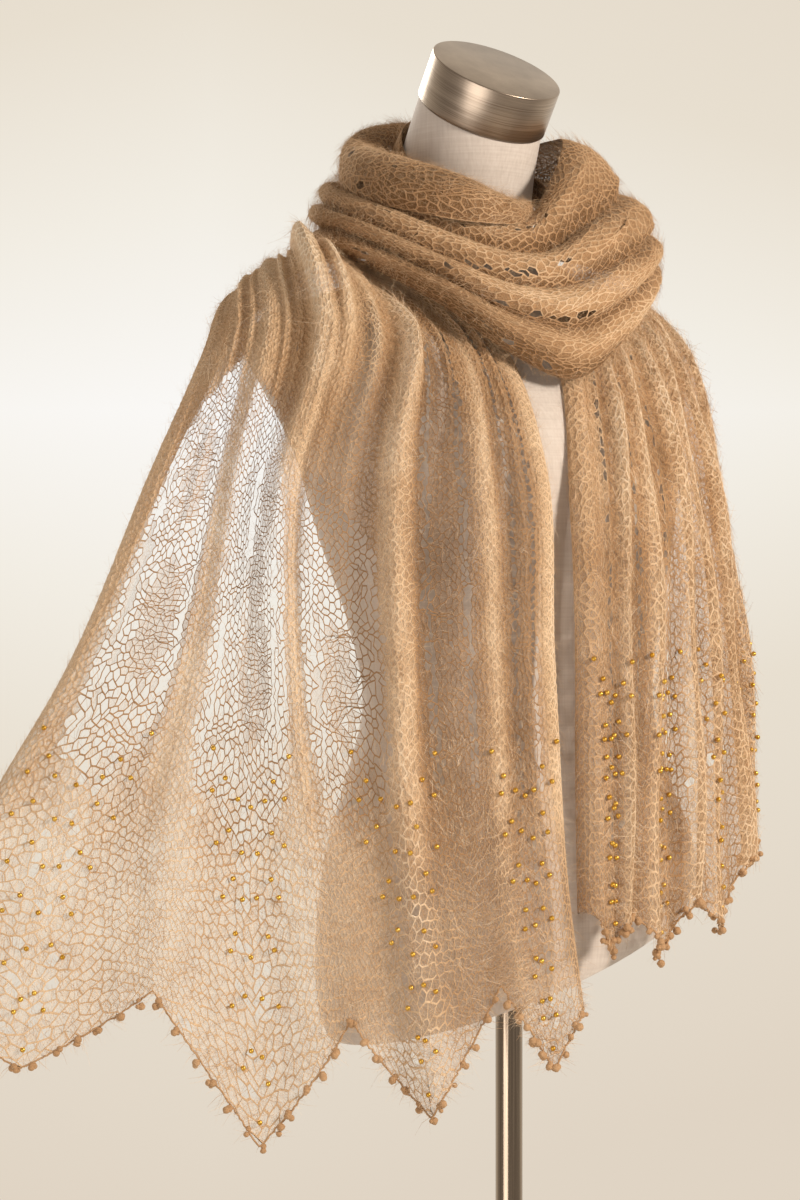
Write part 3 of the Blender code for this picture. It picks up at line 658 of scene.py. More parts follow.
knit = {
    "jitter": 0.12,  # shares of a cell
    "wander": 0.50,
    "rounding": 0.20,
    # openness up to, share of a cell
    "yarn": ((0.35, 0.13), (0.44, 0.10), (0.53, 0.065), (0.62, 0.09), (1.01, 0.095)),
    "calming": 0.75,
    "relief": 0.0006,
    "unevenness": (0.05, 0.13),  # of closed and of open knit
    "openFrom": 0.62,  # cells this open have no fur inside
    "ladder": 0.85,  # cells this open run together
    "ladderChance": 0.75,
    "wideChance": 0.10,
}
cellSize = {"ends": 0.0068, "wrap": 0.0076, "roll": 0.0072, "inner": 0.0055}


def softBox(value, low, high, soft):
    return ramp(value, low - soft, low + soft) * (1 - ramp(value, high - soft, high + soft))


def wandering(rng, size):
    # smooth uneven values over a net, about half of one each way
    field = rng.normal(size=size)
    for _ in range(3):
        field = (field + np.roll(field, 1, 0) + np.roll(field, -1, 0)) / 3
        field = (field + np.roll(field, 1, 1) + np.roll(field, -1, 1)) / 3
    return field / field.std() * 0.5


def joinCells(shape, columns, levels, holes, leaves, chance):
    # bricks of two cells each, small single cells in the leaves, and longer holes in the ladders
    gone = []
    for edge in shape.edges:
        first, second = edge.verts[0].co, edge.verts[1].co
        i = ((first.x + second.x) / 2 + 0.5) * columns
        j = ((first.y + second.y) / 2 + 0.5) * levels
        if abs(first.y - second.y) < 1e-7:  # a bar between two cells of a column
            column, level = int(i), round(j)
            hole = holes[column, level]
            ladder = hole > knit["ladder"] and chance[column, level] < knit["ladderChance"] * hole
            fine = leaves[column, level] > 0.5 and not ladder
            if 0 < level < levels and ((column + level) % 2 or ladder) and not fine:
                gone.append(edge)
        elif 0 < round(i) < columns and holes[round(i), int(j)] > knit["ladder"]:
            if chance[round(i), int(j)] < knit["wideChance"]:
                gone.append(edge)
    bmesh.ops.dissolve_edges(shape, edges=gone)


def moveCorners(shape, columns, levels, cell, calm, rng):
    # cells near one another grow or shrink together
    wanderX, wanderY = (wandering(rng, calm.shape) * calm for _ in range(2))
    # hexagon corners lean toward their bar, and every corner is a little out of place
    for vert in shape.verts:
        i, j = round((vert.co.x + 0.5) * columns), round((vert.co.y + 0.5) * levels)
        lean = 1 if (i + j) % 2 == 0 else -1
        if 0 < i < columns:
            vert.co.x += (knit["rounding"] * lean + rng.normal() * knit["jitter"] + wanderX[i, j]) / columns
        if 0 < j < levels:
            vert.co.y += (rng.normal() * knit["jitter"] + wanderY[i, j]) * 2 / levels
        vert.co.x = (vert.co.x + 0.5) * cell * columns
        vert.co.y = (vert.co.y + 0.5) * cell * levels / 2


def ringCells(shape, hole, cell):
    # yarn round each cell, thin fur inside it, and nothing inside the most open ones
    faces = list(shape.faces)
    low = -1.0
    for high, share in knit["yarn"]:
        group = [face for face, size in zip(faces, hole) if low <= size < high]
        low = high
        if group:
            bmesh.ops.inset_individual(shape, faces=group, thickness=share * cell, depth=-knit["relief"])
    for face in faces:
        face.material_index = 1
    empty = [face for face, size in zip(faces, hole) if size > knit["openFrom"]]
    bmesh.ops.delete(shape, geom=empty, context="FACES_ONLY")


def knitNet(name, columns, rows, cell, look, seed):
    # look has functions of the place: spread, which evens out the rows, openness, calm, shade, under,
    # haze and carry, and may have leaf
    rng = np.random.default_rng(seed)
    levels = rows * 2
    shape = bmesh.new()
    bmesh.ops.create_grid(shape, x_segments=columns, y_segments=levels, size=0.5)
    gridU, gridV = look["spread"](*[g.ravel() for g in np.meshgrid(
        np.arange(columns + 1) / columns, np.arange(levels + 1) / levels, indexing="ij")])
    size = (columns + 1, levels + 1)
    holes = look["openness"](gridU, gridV).reshape(size)
    leaves = look["leaf"](gridU, gridV).reshape(size) if "leaf" in look else np.zeros(size)
    joinCells(shape, columns, levels, holes, leaves, rng.random(size))
    calm = knit["wander"] * (1 - knit["calming"] * look["calm"](gridU, gridV).reshape(size))
    moveCorners(shape, columns, levels, cell, calm, rng)
    middles = np.array([face.calc_center_median()[:2] for face in shape.faces])
    middles /= (cell * columns, cell * rows)
    hole = look["openness"](*look["spread"](*middles.T))
    uneven = mix(*knit["unevenness"], ramp(hole, 0.5, 0.7))
    ringCells(shape, np.clip(hole + rng.normal(0, 1, len(middles)) * uneven, 0, 1), cell)
    piece = newObject(name, shape, strandYarn, haze)
    mesh = piece.data
    flat = readPoints(mesh)
    corners = np.empty(len(mesh.loops), np.int32)
    mesh.loops.foreach_get("vertex_index", corners)
    layer = mesh.uv_layers.new(name="knit")
    layer.data.foreach_set("uv", flat[corners, :2].astype(np.float32).ravel())
    u, v = look["spread"](np.clip(flat[:, 0] / (cell * columns), 0, 1),
                          np.clip(flat[:, 1] / (cell * rows), 0, 1))
    setShade(mesh, shade=look["shade"](u, v), under=look["under"](u, v), haze=look["haze"](u, v))
    placePoints(mesh, look["carry"](u, v, flat[:, 2] + knit["relief"]))
    print(f"{name}: {len(middles)} cells, {len(mesh.loops) - 2 * len(mesh.polygons)} triangles")
    return piece


def endSpread(s, t):
    # fewer rows behind the neck, and wales that draw together at the hem's valleys
    v = np.interp(t, (0.0, 0.10, 1.0), (0.0, 0.19, 1.0))
    fan = 0.5 * ramp(v, 0.72, 1.0)
    return s - fan * np.sin(8 * math.pi * s) / (8 * math.pi), v


rightLace = {
    # open stretches of the knit: place along, and from where to where across
    "openings": (
        ((0.37, 0.195, 0.207), (0.43, 0.12, 0.208), (0.50, 0.085, 0.207), (0.70, 0.072, 0.20),
         (0.77, 0.09, 0.19), (0.81, 0.15, 0.16)),
        ((0.40, 0.262, 0.27), (0.47, 0.26, 0.40), (0.55, 0.262, 0.455), (0.76, 0.265, 0.455),
         (0.80, 0.28, 0.44), (0.83, 0.35, 0.38)),
        ((0.50, 0.50, 0.51), (0.57, 0.495, 0.60), (0.68, 0.49, 0.63), (0.76, 0.49, 0.62), (0.83, 0.52, 0.56)),
    ),
    # closed leaves inside them: middle across and along, half width, half length
    "leaves": ((0.155, 0.515, 0.035, 0.06), (0.152, 0.66, 0.036, 0.065), (0.395, 0.52, 0.042, 0.06),
               (0.365, 0.61, 0.028, 0.05), (0.375, 0.70, 0.045, 0.065), (0.552, 0.71, 0.034, 0.065)),
    # lines of large holes: place across, from and to along, half width
    "ladders": ((0.093, 0.46, 0.78, 0.010), (0.195, 0.56, 0.74, 0.007), (0.283, 0.64, 0.80, 0.011),
                (0.335, 0.47, 0.60, 0.009), (0.425, 0.58, 0.76, 0.009), (0.448, 0.60, 0.74, 0.006),
                (0.506, 0.60, 0.80, 0.007), (0.608, 0.58, 0.80, 0.010), (0.575, 0.62, 0.76, 0.008),
                (0.70, 0.30, 0.80, 0.007), (0.765, 0.32, 0.80, 0.007),
                (0.87, 0.30, 0.80, 0.006), (0.915, 0.34, 0.80, 0.006)),
    # bands of closed knit: place across, half width
    "bands": ((0.234, 0.019), (0.474, 0.016), (0.645, 0.018), (0.82, 0.018), (0.96, 0.03), (0.025, 0.045)),
    # folds of closed knit: place across, half width, from and to along, how dense
    "dense": ((0.44, 0.040, 0.10, 0.50, 1.0), (0.655, 0.034, 0.20, 1.10, 0.98),
              (0.82, 0.030, 0.30, 1.10, 0.92), (0.96, 0.050, 0.10, 1.10, 0.95),
              (0.03, 0.055, 0.00, 0.85, 1.2), (0.56, 0.035, 0.30, 0.85, 0.30),
              (0.735, 0.03, 0.30, 0.85, 0.42)),
}
# levels in the right end's parts: how open the knit is, how much thin fur fills it, and both tones, which
# hold painted light and shade
rightOpen = {"gathers": 0.30, "body": 0.48, "fans": 0.46, "openings": 0.71, "ladders": 0.97,
             "leaves": 0.53, "bands": 0.38, "fanWales": 28}
rightFur = {"gathers": 1.60, "body": 0.52, "openings": 0.24, "leaves": 0.12, "fans": 0.36, "bands": 0.88}
# in the tones, 'middle' is painted shade over the form's middle, 'crests' painted light on the folds' crests
# and painted shade in their valleys, 'bands' painted light of the dense knit's glow, and 'openings' painted
# shade of backlit strands
rightToneWithPaintedLight = {"gathers": 0.74, "body": 0.42, "middle": 0.13, "fans": 0.66, "crests": 0.42,
             "openings": 0.32, "bands": 0.85}
rightFurToneWithPaintedLight = {"gathers": 0.62, "body": 0.54, "middle": 0.23, "crests": 0.16, "fans": 0.88, "bands": 0.74}
leftLace = {"ladders": (0.17, 0.31, 0.45, 0.59, 0.73, 0.87), "ladderHalf": 0.012, "ladderOpen": 0.28,
            "fanWales": 24}


def leafShare(u, v):
    total = np.zeros(np.shape(u))
    for middleU, middleV, halfU, halfV in rightLace["leaves"]:
        total = np.maximum(total, 1 - ramp(np.hypot((u - middleU) / halfU, (v - middleV) / halfV), 0.75, 1.0))
    return total


def ladderShare(u, v):
    return np.clip(sum(hump(u, middle, half) * softBox(v, start, end, 0.03)
                       for middle, start, end, half in rightLace["ladders"]), 0, 1)


def openShare(u, v):
    total = np.zeros(np.shape(u))
    for rows in rightLace["openings"]:
        along, low, high = np.array(rows).T
        inside = softBox(u, np.interp(v, along, low), np.interp(v, along, high), 0.010)
        total += inside * softBox(v, along[0], along[-1], 0.02)
    return np.clip(total, 0, 1)


def bandShare(u, v):
    bands = sum(hump(u, middle, half) for middle, half in rightLace["bands"])
    return np.clip(bands, 0, 1) * (1 - 0.7 * ramp(v, 0.78, 0.88))


def rightOpenness(u, v):
    # each fan is a little more open along its wales and down its middle
    level = rightOpen
    wales = 0.06 * np.cos(2 * math.pi * level["fanWales"] * u)
    fan = level["fans"] + wales + 0.13 * hump((u * 4) % 1, 0.5, 0.12)
    base = mix(level["gathers"], mix(level["body"], fan, ramp(v, 0.76, 0.86)), ramp(v, 0.18, 0.42))
    base = mix(base, level["openings"], openShare(u, v))
    base = mix(base, level["ladders"], ladderShare(u, v))
    base = mix(base, level["leaves"], leafShare(u, v))
    return mix(base, level["bands"], bandShare(u, v) * 0.9 * (1 - 0.6 * ladderShare(u, v)))


def calmShare(u, v):
    return np.maximum(ramp(v, 0.76, 0.84), bandShare(u, v))


def rightHaze(u, v):
    level = rightFur
    base = mix(level["gathers"], level["body"], ramp(v, 0.33, 0.50))
    for middle, half, start, end, amount in rightLace["dense"]:
        base = mix(base, amount, hump(u, middle, half) * softBox(v, start, end, 0.06))
    base = mix(base, level["openings"] + level["leaves"] * leafShare(u, v), openShare(u, v))
    base = mix(base, level["fans"], ramp(v, 0.78, 0.88))
    return mix(base, level["bands"], bandShare(u, v) * (1 - ramp(v, 0.80, 0.9)))


def crestShare(end, u, v):
    # from -1 in a valley between folds to 1 on a crest
    height = foldHeight(end, u, v)
    around = (foldHeight(end, np.clip(u - 0.045, 0, 1), v) + foldHeight(end, np.clip(u + 0.045, 0, 1), v)) / 2
    return np.clip((height - around) / 0.006, -1, 1) * ramp(v, 0.12, 0.3)


def rightShade(u, v):
    # painted shade near the form's middle, in the folds' valleys and on the backlit strands of the open
    # stretches; painted light on the crests, but less so in the fans, and on the glowing dense bands
    level = rightToneWithPaintedLight
    base = mix(level["gathers"], level["body"], ramp(v, 0.25, 0.45))
    base = base - level["middle"] * softBox(u, 0.67, 0.93, 0.02) * softBox(v, 0.3, 0.85, 0.05)
    base = mix(base, level["fans"] - 0.10 * ramp(u, 0.55, 0.75), ramp(v, 0.76, 0.88))
    crests = level["crests"] * np.maximum(crestShare(rightEnd, u, v), -0.3)
    base = base + crests * (1 - 0.7 * ramp(v, 0.80, 0.95))
    base = mix(base, level["openings"], openShare(u, v))
    bands = bandShare(u, v) * ramp(v, 0.25, 0.45) * (1 - 0.8 * ramp(v, 0.78, 0.9))
    return mix(base, level["bands"], bands)


# the fur's tone: painted shade near the form's middle and in the folds' valleys, painted light on the crests
# and on the glowing dense bands
def rightUnder(u, v):
    level = rightFurToneWithPaintedLight
    base = mix(level["gathers"], level["body"], ramp(v, 0.2, 0.5))
    base = base - level["middle"] * softBox(u, 0.66, 0.93, 0.02)
    base = base + level["crests"] * crestShare(rightEnd, u, v)
    base = mix(base, level["fans"] - 0.42 * ramp(u, 0.52, 0.70), ramp(v, 0.74, 0.86))
    return mix(base, level["bands"], bandShare(u, v) * ramp(v, 0.25, 0.45))


def leftOpenness(u, v):
    fan = 0.42 + 0.12 * np.cos(2 * math.pi * leftLace["fanWales"] * u)
    base = mix(0.32, mix(0.42, fan, ramp(v, 0.75, 0.86)), ramp(v, 0.25, 0.45))
    ladders = sum(hump(u, middle, leftLace["ladderHalf"]) for middle in leftLace["ladders"])
    return np.clip(base + leftLace["ladderOpen"] * ladders * softBox(v, 0.32, 0.9, 0.06), 0, 1)


def leftHaze(u, v):
    return mix(1.0, 0.62, ramp(v, 0.45, 0.85)) - 0.20 * softBox(u, 0.0, 0.12, 0.03) * ramp(v, 0.5, 0.7)


# painted light on the folds' crests and painted shade in their valleys; darker towards the hem
def leftShade(u, v):
    return 0.62 + 0.28 * crestShare(leftEnd, u, v) - 0.14 * ramp(v, 0.5, 0.8)


# the fur's tone: painted light on the folds' crests and painted shade in their valleys; darker towards the
# hem
def leftUnder(u, v):
    return 0.48 + 0.18 * crestShare(leftEnd, u, v) - 0.06 * ramp(v, 0.5, 0.8)


def endCarry(end):
    return lambda u, v, relief: endPoint(end, u, v, relief)


rightPiece = knitNet("rightEndLace", rightEnd["columns"], rightEnd["rows"], cellSize["ends"], {
    "spread": endSpread, "openness": rightOpenness, "haze": rightHaze, "shade": rightShade,
    "under": rightUnder, "leaf": leafShare, "calm": calmShare, "carry": endCarry(rightEnd)}, 11)
leftPiece = knitNet("leftEndLace", leftEnd["columns"], leftEnd["rows"], cellSize["ends"], {
    "spread": endSpread, "openness": leftOpenness, "haze": leftHaze, "shade": leftShade,
    "under": leftUnder, "calm": lambda u, v: ramp(v, 0.74, 0.82), "carry": endCarry(leftEnd)}, 12)


wrapLace = {
    "closed": 0.34,
    "waves": 0.14,
    "holes": 0.23,
    "rows": (0.12, 0.27, 0.36, 0.52, 0.61, 0.77, 0.88),  # places down the wrap
    "rowHalf": 0.014,
    "facing": (0.38, 0.76),
}


def wrapOpenness(u, v):
    # closed knit in waves, with rows of holes where it faces the camera
    waves = np.abs(np.sin(math.pi * 8 * v + 0.8 * np.sin(9 * u)))
    rows = sum(hump(v + 0.02 * np.sin(14 * u + 20 * row), row, wrapLace["rowHalf"])
               for row in wrapLace["rows"])
    uneven = 0.30 + 0.65 * np.sin(17 * u + 31 * v) ** 2
    holes = wrapLace["holes"] * rows * softBox(u, *wrapLace["facing"], 0.05) * uneven
    return wrapLace["closed"] + wrapLace["waves"] * waves + holes


def wrapCarry(angles, point):
    return lambda u, v, relief: point(mix(*angles, u), v, relief)


def wrapLook(angles, point, share=None):
    def tone(level, wave, lift):
        # painted light on the rolls' crests and painted shade between them, if there are any
        crest = (lambda u, v: share(mix(*angles, u), v) ** 0.7 - 0.6) if share else (lambda u, v: 0 * u)
        return lambda u, v: level + wave * np.sin(11 * u + 5 * v) + lift * crest(u, v)

    return {"spread": lambda s, t: (s, t), "openness": wrapOpenness,
            "haze": lambda u, v: np.full(np.shape(u), 1.25), "calm": lambda u, v: np.full(np.shape(u), -0.7),
            # the fur's low tone is painted shade inside the cells
            "shade": tone(0.47, 0.10, 0.40), "under": tone(0.10, 0.08, 0.70),
            "carry": wrapCarry(angles, point)}


frontPiece = knitNet("neckWrapFrontLace", 84, 42, cellSize["wrap"],
                     wrapLook(neckWrap["frontAngles"], wrapPoint, rollShare), 13)
backPiece = knitNet("neckWrapBackLace", 28, 32, cellSize["wrap"],
                    wrapLook(neckWrap["backAngles"], wrapPoint, rollShare), 14)
rollPiece = knitNet("neckWrapRollLace", 46, 20, cellSize["roll"],
                    wrapLook(topRoll["angles"], topRollPoint), 15)
innerPiece = knitNet("neckWrapInnerLace", 56, 9, cellSize["inner"],
                     wrapLook(innerWrap["angles"], innerWrapPoint), 16)
print("knit made")


# Loose hairs and threads: narrow strips in two parts, rooted on the cloth

strip = {"bow": 0.6, "sag": 0.25, "taper": 0.7, "probe": 0.002}
hairs = {"length": (0.005, 0.014), "width": 0.00018, "out": 0.4, "curl": 0.9, "spread": 9.0}
# fine threads that run with the wales of the fans, and the frayed hem's
waleThreads = {"length": (0.008, 0.020), "width": 0.00034, "out": 0.02, "curl": 0.70, "spread": 0.34}
hemThreads = {"length": (0.002, 0.006), "width": 0.00024, "out": 0.25, "curl": 1.4, "spread": 9.0}


def halo(name, count, carry, seed, keep=None, hairs=hairs, yarn=haloYarn):
    rng = np.random.default_rng(seed)
    u, v = rng.random((2, count * 4))
    if keep is not None:
        picked = rng.random(len(u)) < keep(u, v)
        u, v = u[picked], v[picked]
    u, v = u[:count], v[:count]
    count = len(u)
    root = carry(u, v, np.zeros(count))
    normal = unit(carry(u, v, np.full(count, 0.001)) - root)
    across = unit(carry(np.clip(u + strip["probe"], 0, 1), v, np.zeros(count))
                  - carry(np.clip(u - strip["probe"], 0, 1), v, np.zeros(count)))
    along = np.cross(normal, across)
    turn = math.pi / 2 + math.pi * rng.integers(0, 2, count) + rng.normal(0, hairs["spread"], count)
    tangent = across * np.cos(turn)[:, None] + along * np.sin(turn)[:, None]
    length = rng.uniform(*hairs["length"], count)[:, None]
    start = unit(tangent + normal * (hairs["out"] * rng.random(count)[:, None] + 0.1))
    curl = unit(np.cross(start, normal)) * rng.normal(0, hairs["curl"], count)[:, None]
    curl -= normal * strip["sag"]
    wide = unit(np.cross(start, rng.normal(size=(count, 3))))
    shape = bmesh.new()
    bmesh.ops.create_grid(shape, x_segments=2 * count - 1, y_segments=2, size=0.5)
    between = [face for face in shape.faces if int((face.calc_center_median().x + 0.5) * (2 * count - 1)) % 2]
    bmesh.ops.delete(shape, geom=between, context="FACES")
    piece = newObject(name, shape, yarn)
    flat = readPoints(piece.data)
    index = np.rint((flat[:, 0] + 0.5) * (2 * count - 1)).astype(int)
    hair, edge, t = index // 2, index % 2 - 0.5, (flat[:, 1] + 0.5)[:, None]
    points = root[hair] + (start[hair] * t + curl[hair] * t * t * strip["bow"]) * length[hair]
    points += wide[hair] * (edge[:, None] * hairs["width"] * (1 - strip["taper"] * t))
    setShade(piece.data, shade=rng.random(count)[hair])
    placePoints(piece.data, points)
    print(f"{name}: {count} hairs")
    return piece


def hemCarry(end):
    # along the hem, most of them at the very edge
    return lambda u, v, relief: endPoint(end, u, 1 - 0.03 * v * v, relief)


def rightThreads(u, v):
    # on the fans and the folds' crests, but not where the edge rolls in
    crests = 0.45 * np.maximum(crestShare(rightEnd, u, v), 0) * (1 - openShare(u, v))
    crests = ramp(v, 0.22, 0.35) * (0.30 * bandShare(u, v) + crests)
    return (ramp(v, 0.70, 0.86) + crests) * (1 - ramp(u, 0.88, 0.93)) * ramp(u, 0.04, 0.08)


def leftThreads(u, v):
    share = 0.35 + 0.4 * ramp(v, 0.60, 0.80) + 0.4 * crestShare(leftEnd, u, v)
    return share * ramp(v, 0.22, 0.3) * (1 - ramp(u, 0.90, 0.94))


hairPieces = (
    halo("rightEndHalo", 24000, endCarry(rightEnd), 21,
         lambda u, v: ramp(v, 0.10, 0.2) * (1 - 0.55 * openShare(u, v))),
    halo("leftEndHalo", 17000, endCarry(leftEnd), 22, lambda u, v: ramp(v, 0.2, 0.3)),
    halo("neckWrapFrontHalo", 20000, wrapCarry(neckWrap["frontAngles"], wrapPoint), 23, None,
         hairs, wrapHaloYarn),
    halo("neckWrapBackHalo", 5000, wrapCarry(neckWrap["backAngles"], wrapPoint), 24),
    halo("neckWrapRollHalo", 9000, wrapCarry(topRoll["angles"], topRollPoint), 25, None, hairs, wrapHaloYarn),
    halo("neckWrapInnerHalo", 2500, wrapCarry(innerWrap["angles"], innerWrapPoint), 26),
    halo("rightFanThreads", 18000, endCarry(rightEnd), 27, rightThreads, waleThreads),
    halo("leftFanThreads", 13000, endCarry(leftEnd), 28, leftThreads, waleThreads),
    halo("rightHemThreads", 2400, hemCarry(rightEnd), 29, None, hemThreads, edgeYarn),
    halo("leftHemThreads", 1600, hemCarry(leftEnd), 30, None, hemThreads, edgeYarn),
)


# Picot edges and beads

picot = {
    "perPoint": 12,
    "bobbleRadius": 0.0041,
    "lumpSizes": (0.42, 0.82),  # shares of the bobble's radius
    "lumpScatter": 0.0014,
    "beyondHem": (0.1, 0.75),
    "cordRadius": 0.0008,
    "cordBeyondHem": 0.0001,
    "cordScatter": 0.0004,
    "steepest": 0.2,
}
beading = {
    "radius": 0.0021,
    "arcs": 7,
    "most": 7,
    "fewest": 3,
    "halfTop": 0.072,
    "halfTip": 0.016,
    "hang": 0.035,
    "scatter": (0.003, 0.002),
    "lift": 1.1,
}


def beyondHem(end, u, clear):
    last = np.ones(len(u))
    here = endPoint(end, u, last)
    wale = unit(here - endPoint(end, u, last * 0.99))
    slant = np.zeros(len(u))
    for side in (-0.012, -0.004, 0.004, 0.012):
        edge = endPoint(end, np.clip(u + side, 0, 1), last) - here
        length = np.linalg.norm(edge, axis=1)
        slant = np.maximum(slant, np.abs((edge * wale).sum(1)) / np.maximum(length, 1e-9))
    return here + wale * (clear / np.sqrt(np.maximum(1 - slant ** 2, picot["steepest"])))[:, None]


def strew(shape, item, places, rng, sizes):
    # adds copies of one small mesh, each turned its own way; a size may be a range
    for place in places:
        before = len(shape.verts)
        shape.from_mesh(item)
        shape.verts.ensure_lookup_table()
        turn = Matrix.Rotation(rng.random() * 6.28, 4, Vector(rng.normal(size=3)).normalized())
        size = sizes if isinstance(sizes, float) else sizes[0] * rng.uniform(*sizes[1:])
        matrix = Matrix.Translation(place) @ turn @ Matrix.Scale(size, 4)
        bmesh.ops.transform(shape, matrix=matrix, verts=shape.verts[before:])


def ballMesh(name, subdivisions, lumps, seed):
    rng = np.random.default_rng(seed)
    shape = bmesh.new()
    bmesh.ops.create_icosphere(shape, subdivisions=subdivisions, radius=1)
    for vert in shape.verts:
        if lumps:
            x, y, z = vert.co
            ridge = math.sin(6 * x + 2 * y) * math.sin(5 * y - 3 * z + 1) + 0.5 * math.sin(11 * z + 4 * x)
            vert.co *= 1 + lumps * ridge + rng.normal() * lumps * 0.35
    mesh = bpy.data.meshes.new(name)
    shape.to_mesh(mesh)
    shape.free()
    return mesh


def picotEdge(name, end, seed):
    count = picot["perPoint"] * len(end["points"]) * 2
    u = mix(*end["cordRun"], np.arange(count + 1) / count)
    rng = np.random.default_rng(seed)
    u[1:-1] += rng.normal(0, 0.12, count - 1) / count
    places = beyondHem(end, u, picot["bobbleRadius"] * rng.uniform(*picot["beyondHem"], count + 1))
    fine = mix(*end["cordRun"], np.arange(count * 4 + 1) / (count * 4))
    path = beyondHem(end, fine, np.full(len(fine), picot["cordBeyondHem"]))
    path += rng.normal(0, picot["cordScatter"], (len(fine), 3))
    print(f"{name}: cord of {np.linalg.norm(np.diff(path, axis=0), axis=1).sum():.2f} m")
    curve = bpy.data.curves.new(name, "CURVE")
    curve.dimensions = "3D"
    curve.bevel_depth = picot["cordRadius"]
    curve.bevel_resolution = 1
    curve.use_fill_caps = True
    spline = curve.splines.new("POLY")
    spline.points.add(len(path) - 1)
    for point, place in zip(spline.points, path):
        point.co = (*place, 1)
    holder = bpy.data.objects.new(name, curve)
    bpy.context.scene.collection.objects.link(holder)
    bpy.context.view_layer.update()
    cord = bpy.data.meshes.new_from_object(holder.evaluated_get(bpy.context.evaluated_depsgraph_get()))
    bpy.data.objects.remove(holder)
    knots = places[1::2]
    shape = bmesh.new()
    shape.from_mesh(cord)
    bobble = ballMesh("bobble", 2, 0.10, seed)
    # each bobble is a cluster of two or three lumps
    lumps = [place + rng.normal(0, picot["lumpScatter"], 3) for place in knots
             for _ in range(rng.integers(2, 4))]
    strew(shape, bobble, lumps, rng, (picot["bobbleRadius"], *picot["lumpSizes"]))
    piece = newObject(name, shape, edgeYarn)
    setShade(piece.data, shade=np.full(len(piece.data.vertices), 0.45))
    return piece


def beadPlaces(end, top, hem, seed):
    rng = np.random.default_rng(seed)
    u, v = [], []
    for point in range(len(end["points"])):
        middle = (point + 0.5) / len(end["points"])
        for arc in range(beading["arcs"]):
            share = arc / (beading["arcs"] - 1)
            half = mix(beading["halfTop"], beading["halfTip"], share)
            count = round(mix(beading["most"], beading["fewest"], share))
            for bead in range(count):
                across = -1 + 2 * bead / (count - 1)
                u.append(middle + half * across + rng.normal(0, beading["scatter"][0]))
                hang = beading["hang"] * across ** 2 * (1 - 0.5 * share)
                v.append(mix(top, hem, share) - hang + rng.normal(0, beading["scatter"][1]))
    lift = beading["radius"] * beading["lift"]
    return endPoint(end, np.clip(u, 0.01, 0.99), np.clip(v, 0, 1), lift)


goldBead, goldTree, goldShader = newMaterial("goldBead", Metallic=0.8, Roughness=0.3)
goldNoise = noise(goldTree, objectPlace(goldTree), 300.0, 2.0)
goldColour = addRamp(goldTree, goldNoise, ((0.3, "c9952f"), (0.7, "efca62")))
goldTree.links.new(goldColour, goldShader.inputs["Base Color"])

rightPicot = picotEdge("rightPicotEdge", rightEnd, 31)
leftPicot = picotEdge("leftPicotEdge", leftEnd, 32)
beadMesh = ballMesh("bead", 2, 0.0, 0)
beadMesh.shade_smooth()


def beads(name, places, seed):
    shape = bmesh.new()
    strew(shape, beadMesh, places, np.random.default_rng(seed), beading["radius"])
    return newObject(name, shape, goldBead)


rightBeads = beads("rightBeads", beadPlaces(rightEnd, 0.80, 0.985, 33), 35)
leftBeads = beads("leftBeads", beadPlaces(leftEnd, 0.78, 0.98, 34), 36)
print("edges and beads made")


# Dress form and stand

form = {
    "around": 72,
    "between": 5,
    "lowEdge": 0.003,
    "colours": ((0.3, "c9c1bb"), (0.5, "d4ccc6"), (0.7, "ddd7d2")),
}
cap = {"radius": 0.054, "height": 0.040, "seat": (0.0, 0.038, 1.519), "groove": 0.0014, "softEdge": 0.0009}
stand = {
    "poleRadius": 0.011,
    "baseRadius": 0.185,
    "baseHeight": 0.014,
    "collarRadius": 0.030,
    "collarHeight": 0.034,
    "gap": 0.0003,
}


def formShell():
    shape = bmesh.new()
    levels = (len(formRings) - 1) * form["between"]
    bmesh.ops.create_grid(shape, x_segments=form["around"], y_segments=levels, size=0.5)
    numbered = [(index, *ring) for index, ring in enumerate(formRings)]
    for vert in shape.verts:
        level = (vert.co.y + 0.5) * levels / form["between"]
        height, halfWidth, halfDepth, middleY, slope, lean = throughRows(numbered, np.array([level]))[0]
        turn = 2 * math.pi * (vert.co.x + 0.5)
        if level < 1e-6:
            halfWidth, halfDepth = halfWidth - form["lowEdge"], halfDepth - form["lowEdge"]
        x, y = halfWidth * math.cos(turn), halfDepth * math.sin(turn)
        tilt = neckLean * lean
        vert.co = (x, middleY + y * math.cos(tilt), height + slope * x + y * math.sin(tilt))
    bmesh.ops.remove_doubles(shape, verts=shape.verts, dist=1e-5)
    bmesh.ops.holes_fill(shape, edges=shape.edges, sides=form["around"])
    bmesh.ops.recalc_face_normals(shape, faces=shape.faces)
    return shape


def turned(profile, count):
    # a profile of radius and height, spun round the upright axis
    shape = bmesh.new()
    verts = [shape.verts.new((radius, 0, height)) for radius, height in profile]
    edges = [shape.edges.new(pair) for pair in zip(verts, verts[1:])]
    bmesh.ops.spin(shape, geom=verts + edges, cent=(0, 0, 0), axis=(0, 0, 1), angle=2 * math.pi,
                   steps=count, use_merge=True)
    bmesh.ops.remove_doubles(shape, verts=shape.verts, dist=1e-6)
    bmesh.ops.recalc_face_normals(shape, faces=shape.faces)
    return shape


def softEdges(shape, width, angle=0.5, segments=3):
    sharp = [edge for edge in shape.edges if len(edge.link_faces) == 2 and edge.calc_face_angle() > angle]
    bmesh.ops.bevel(shape, geom=sharp, offset=width, affect="EDGES", segments=segments,
                    profile=0.5, material=-1)
    return shape


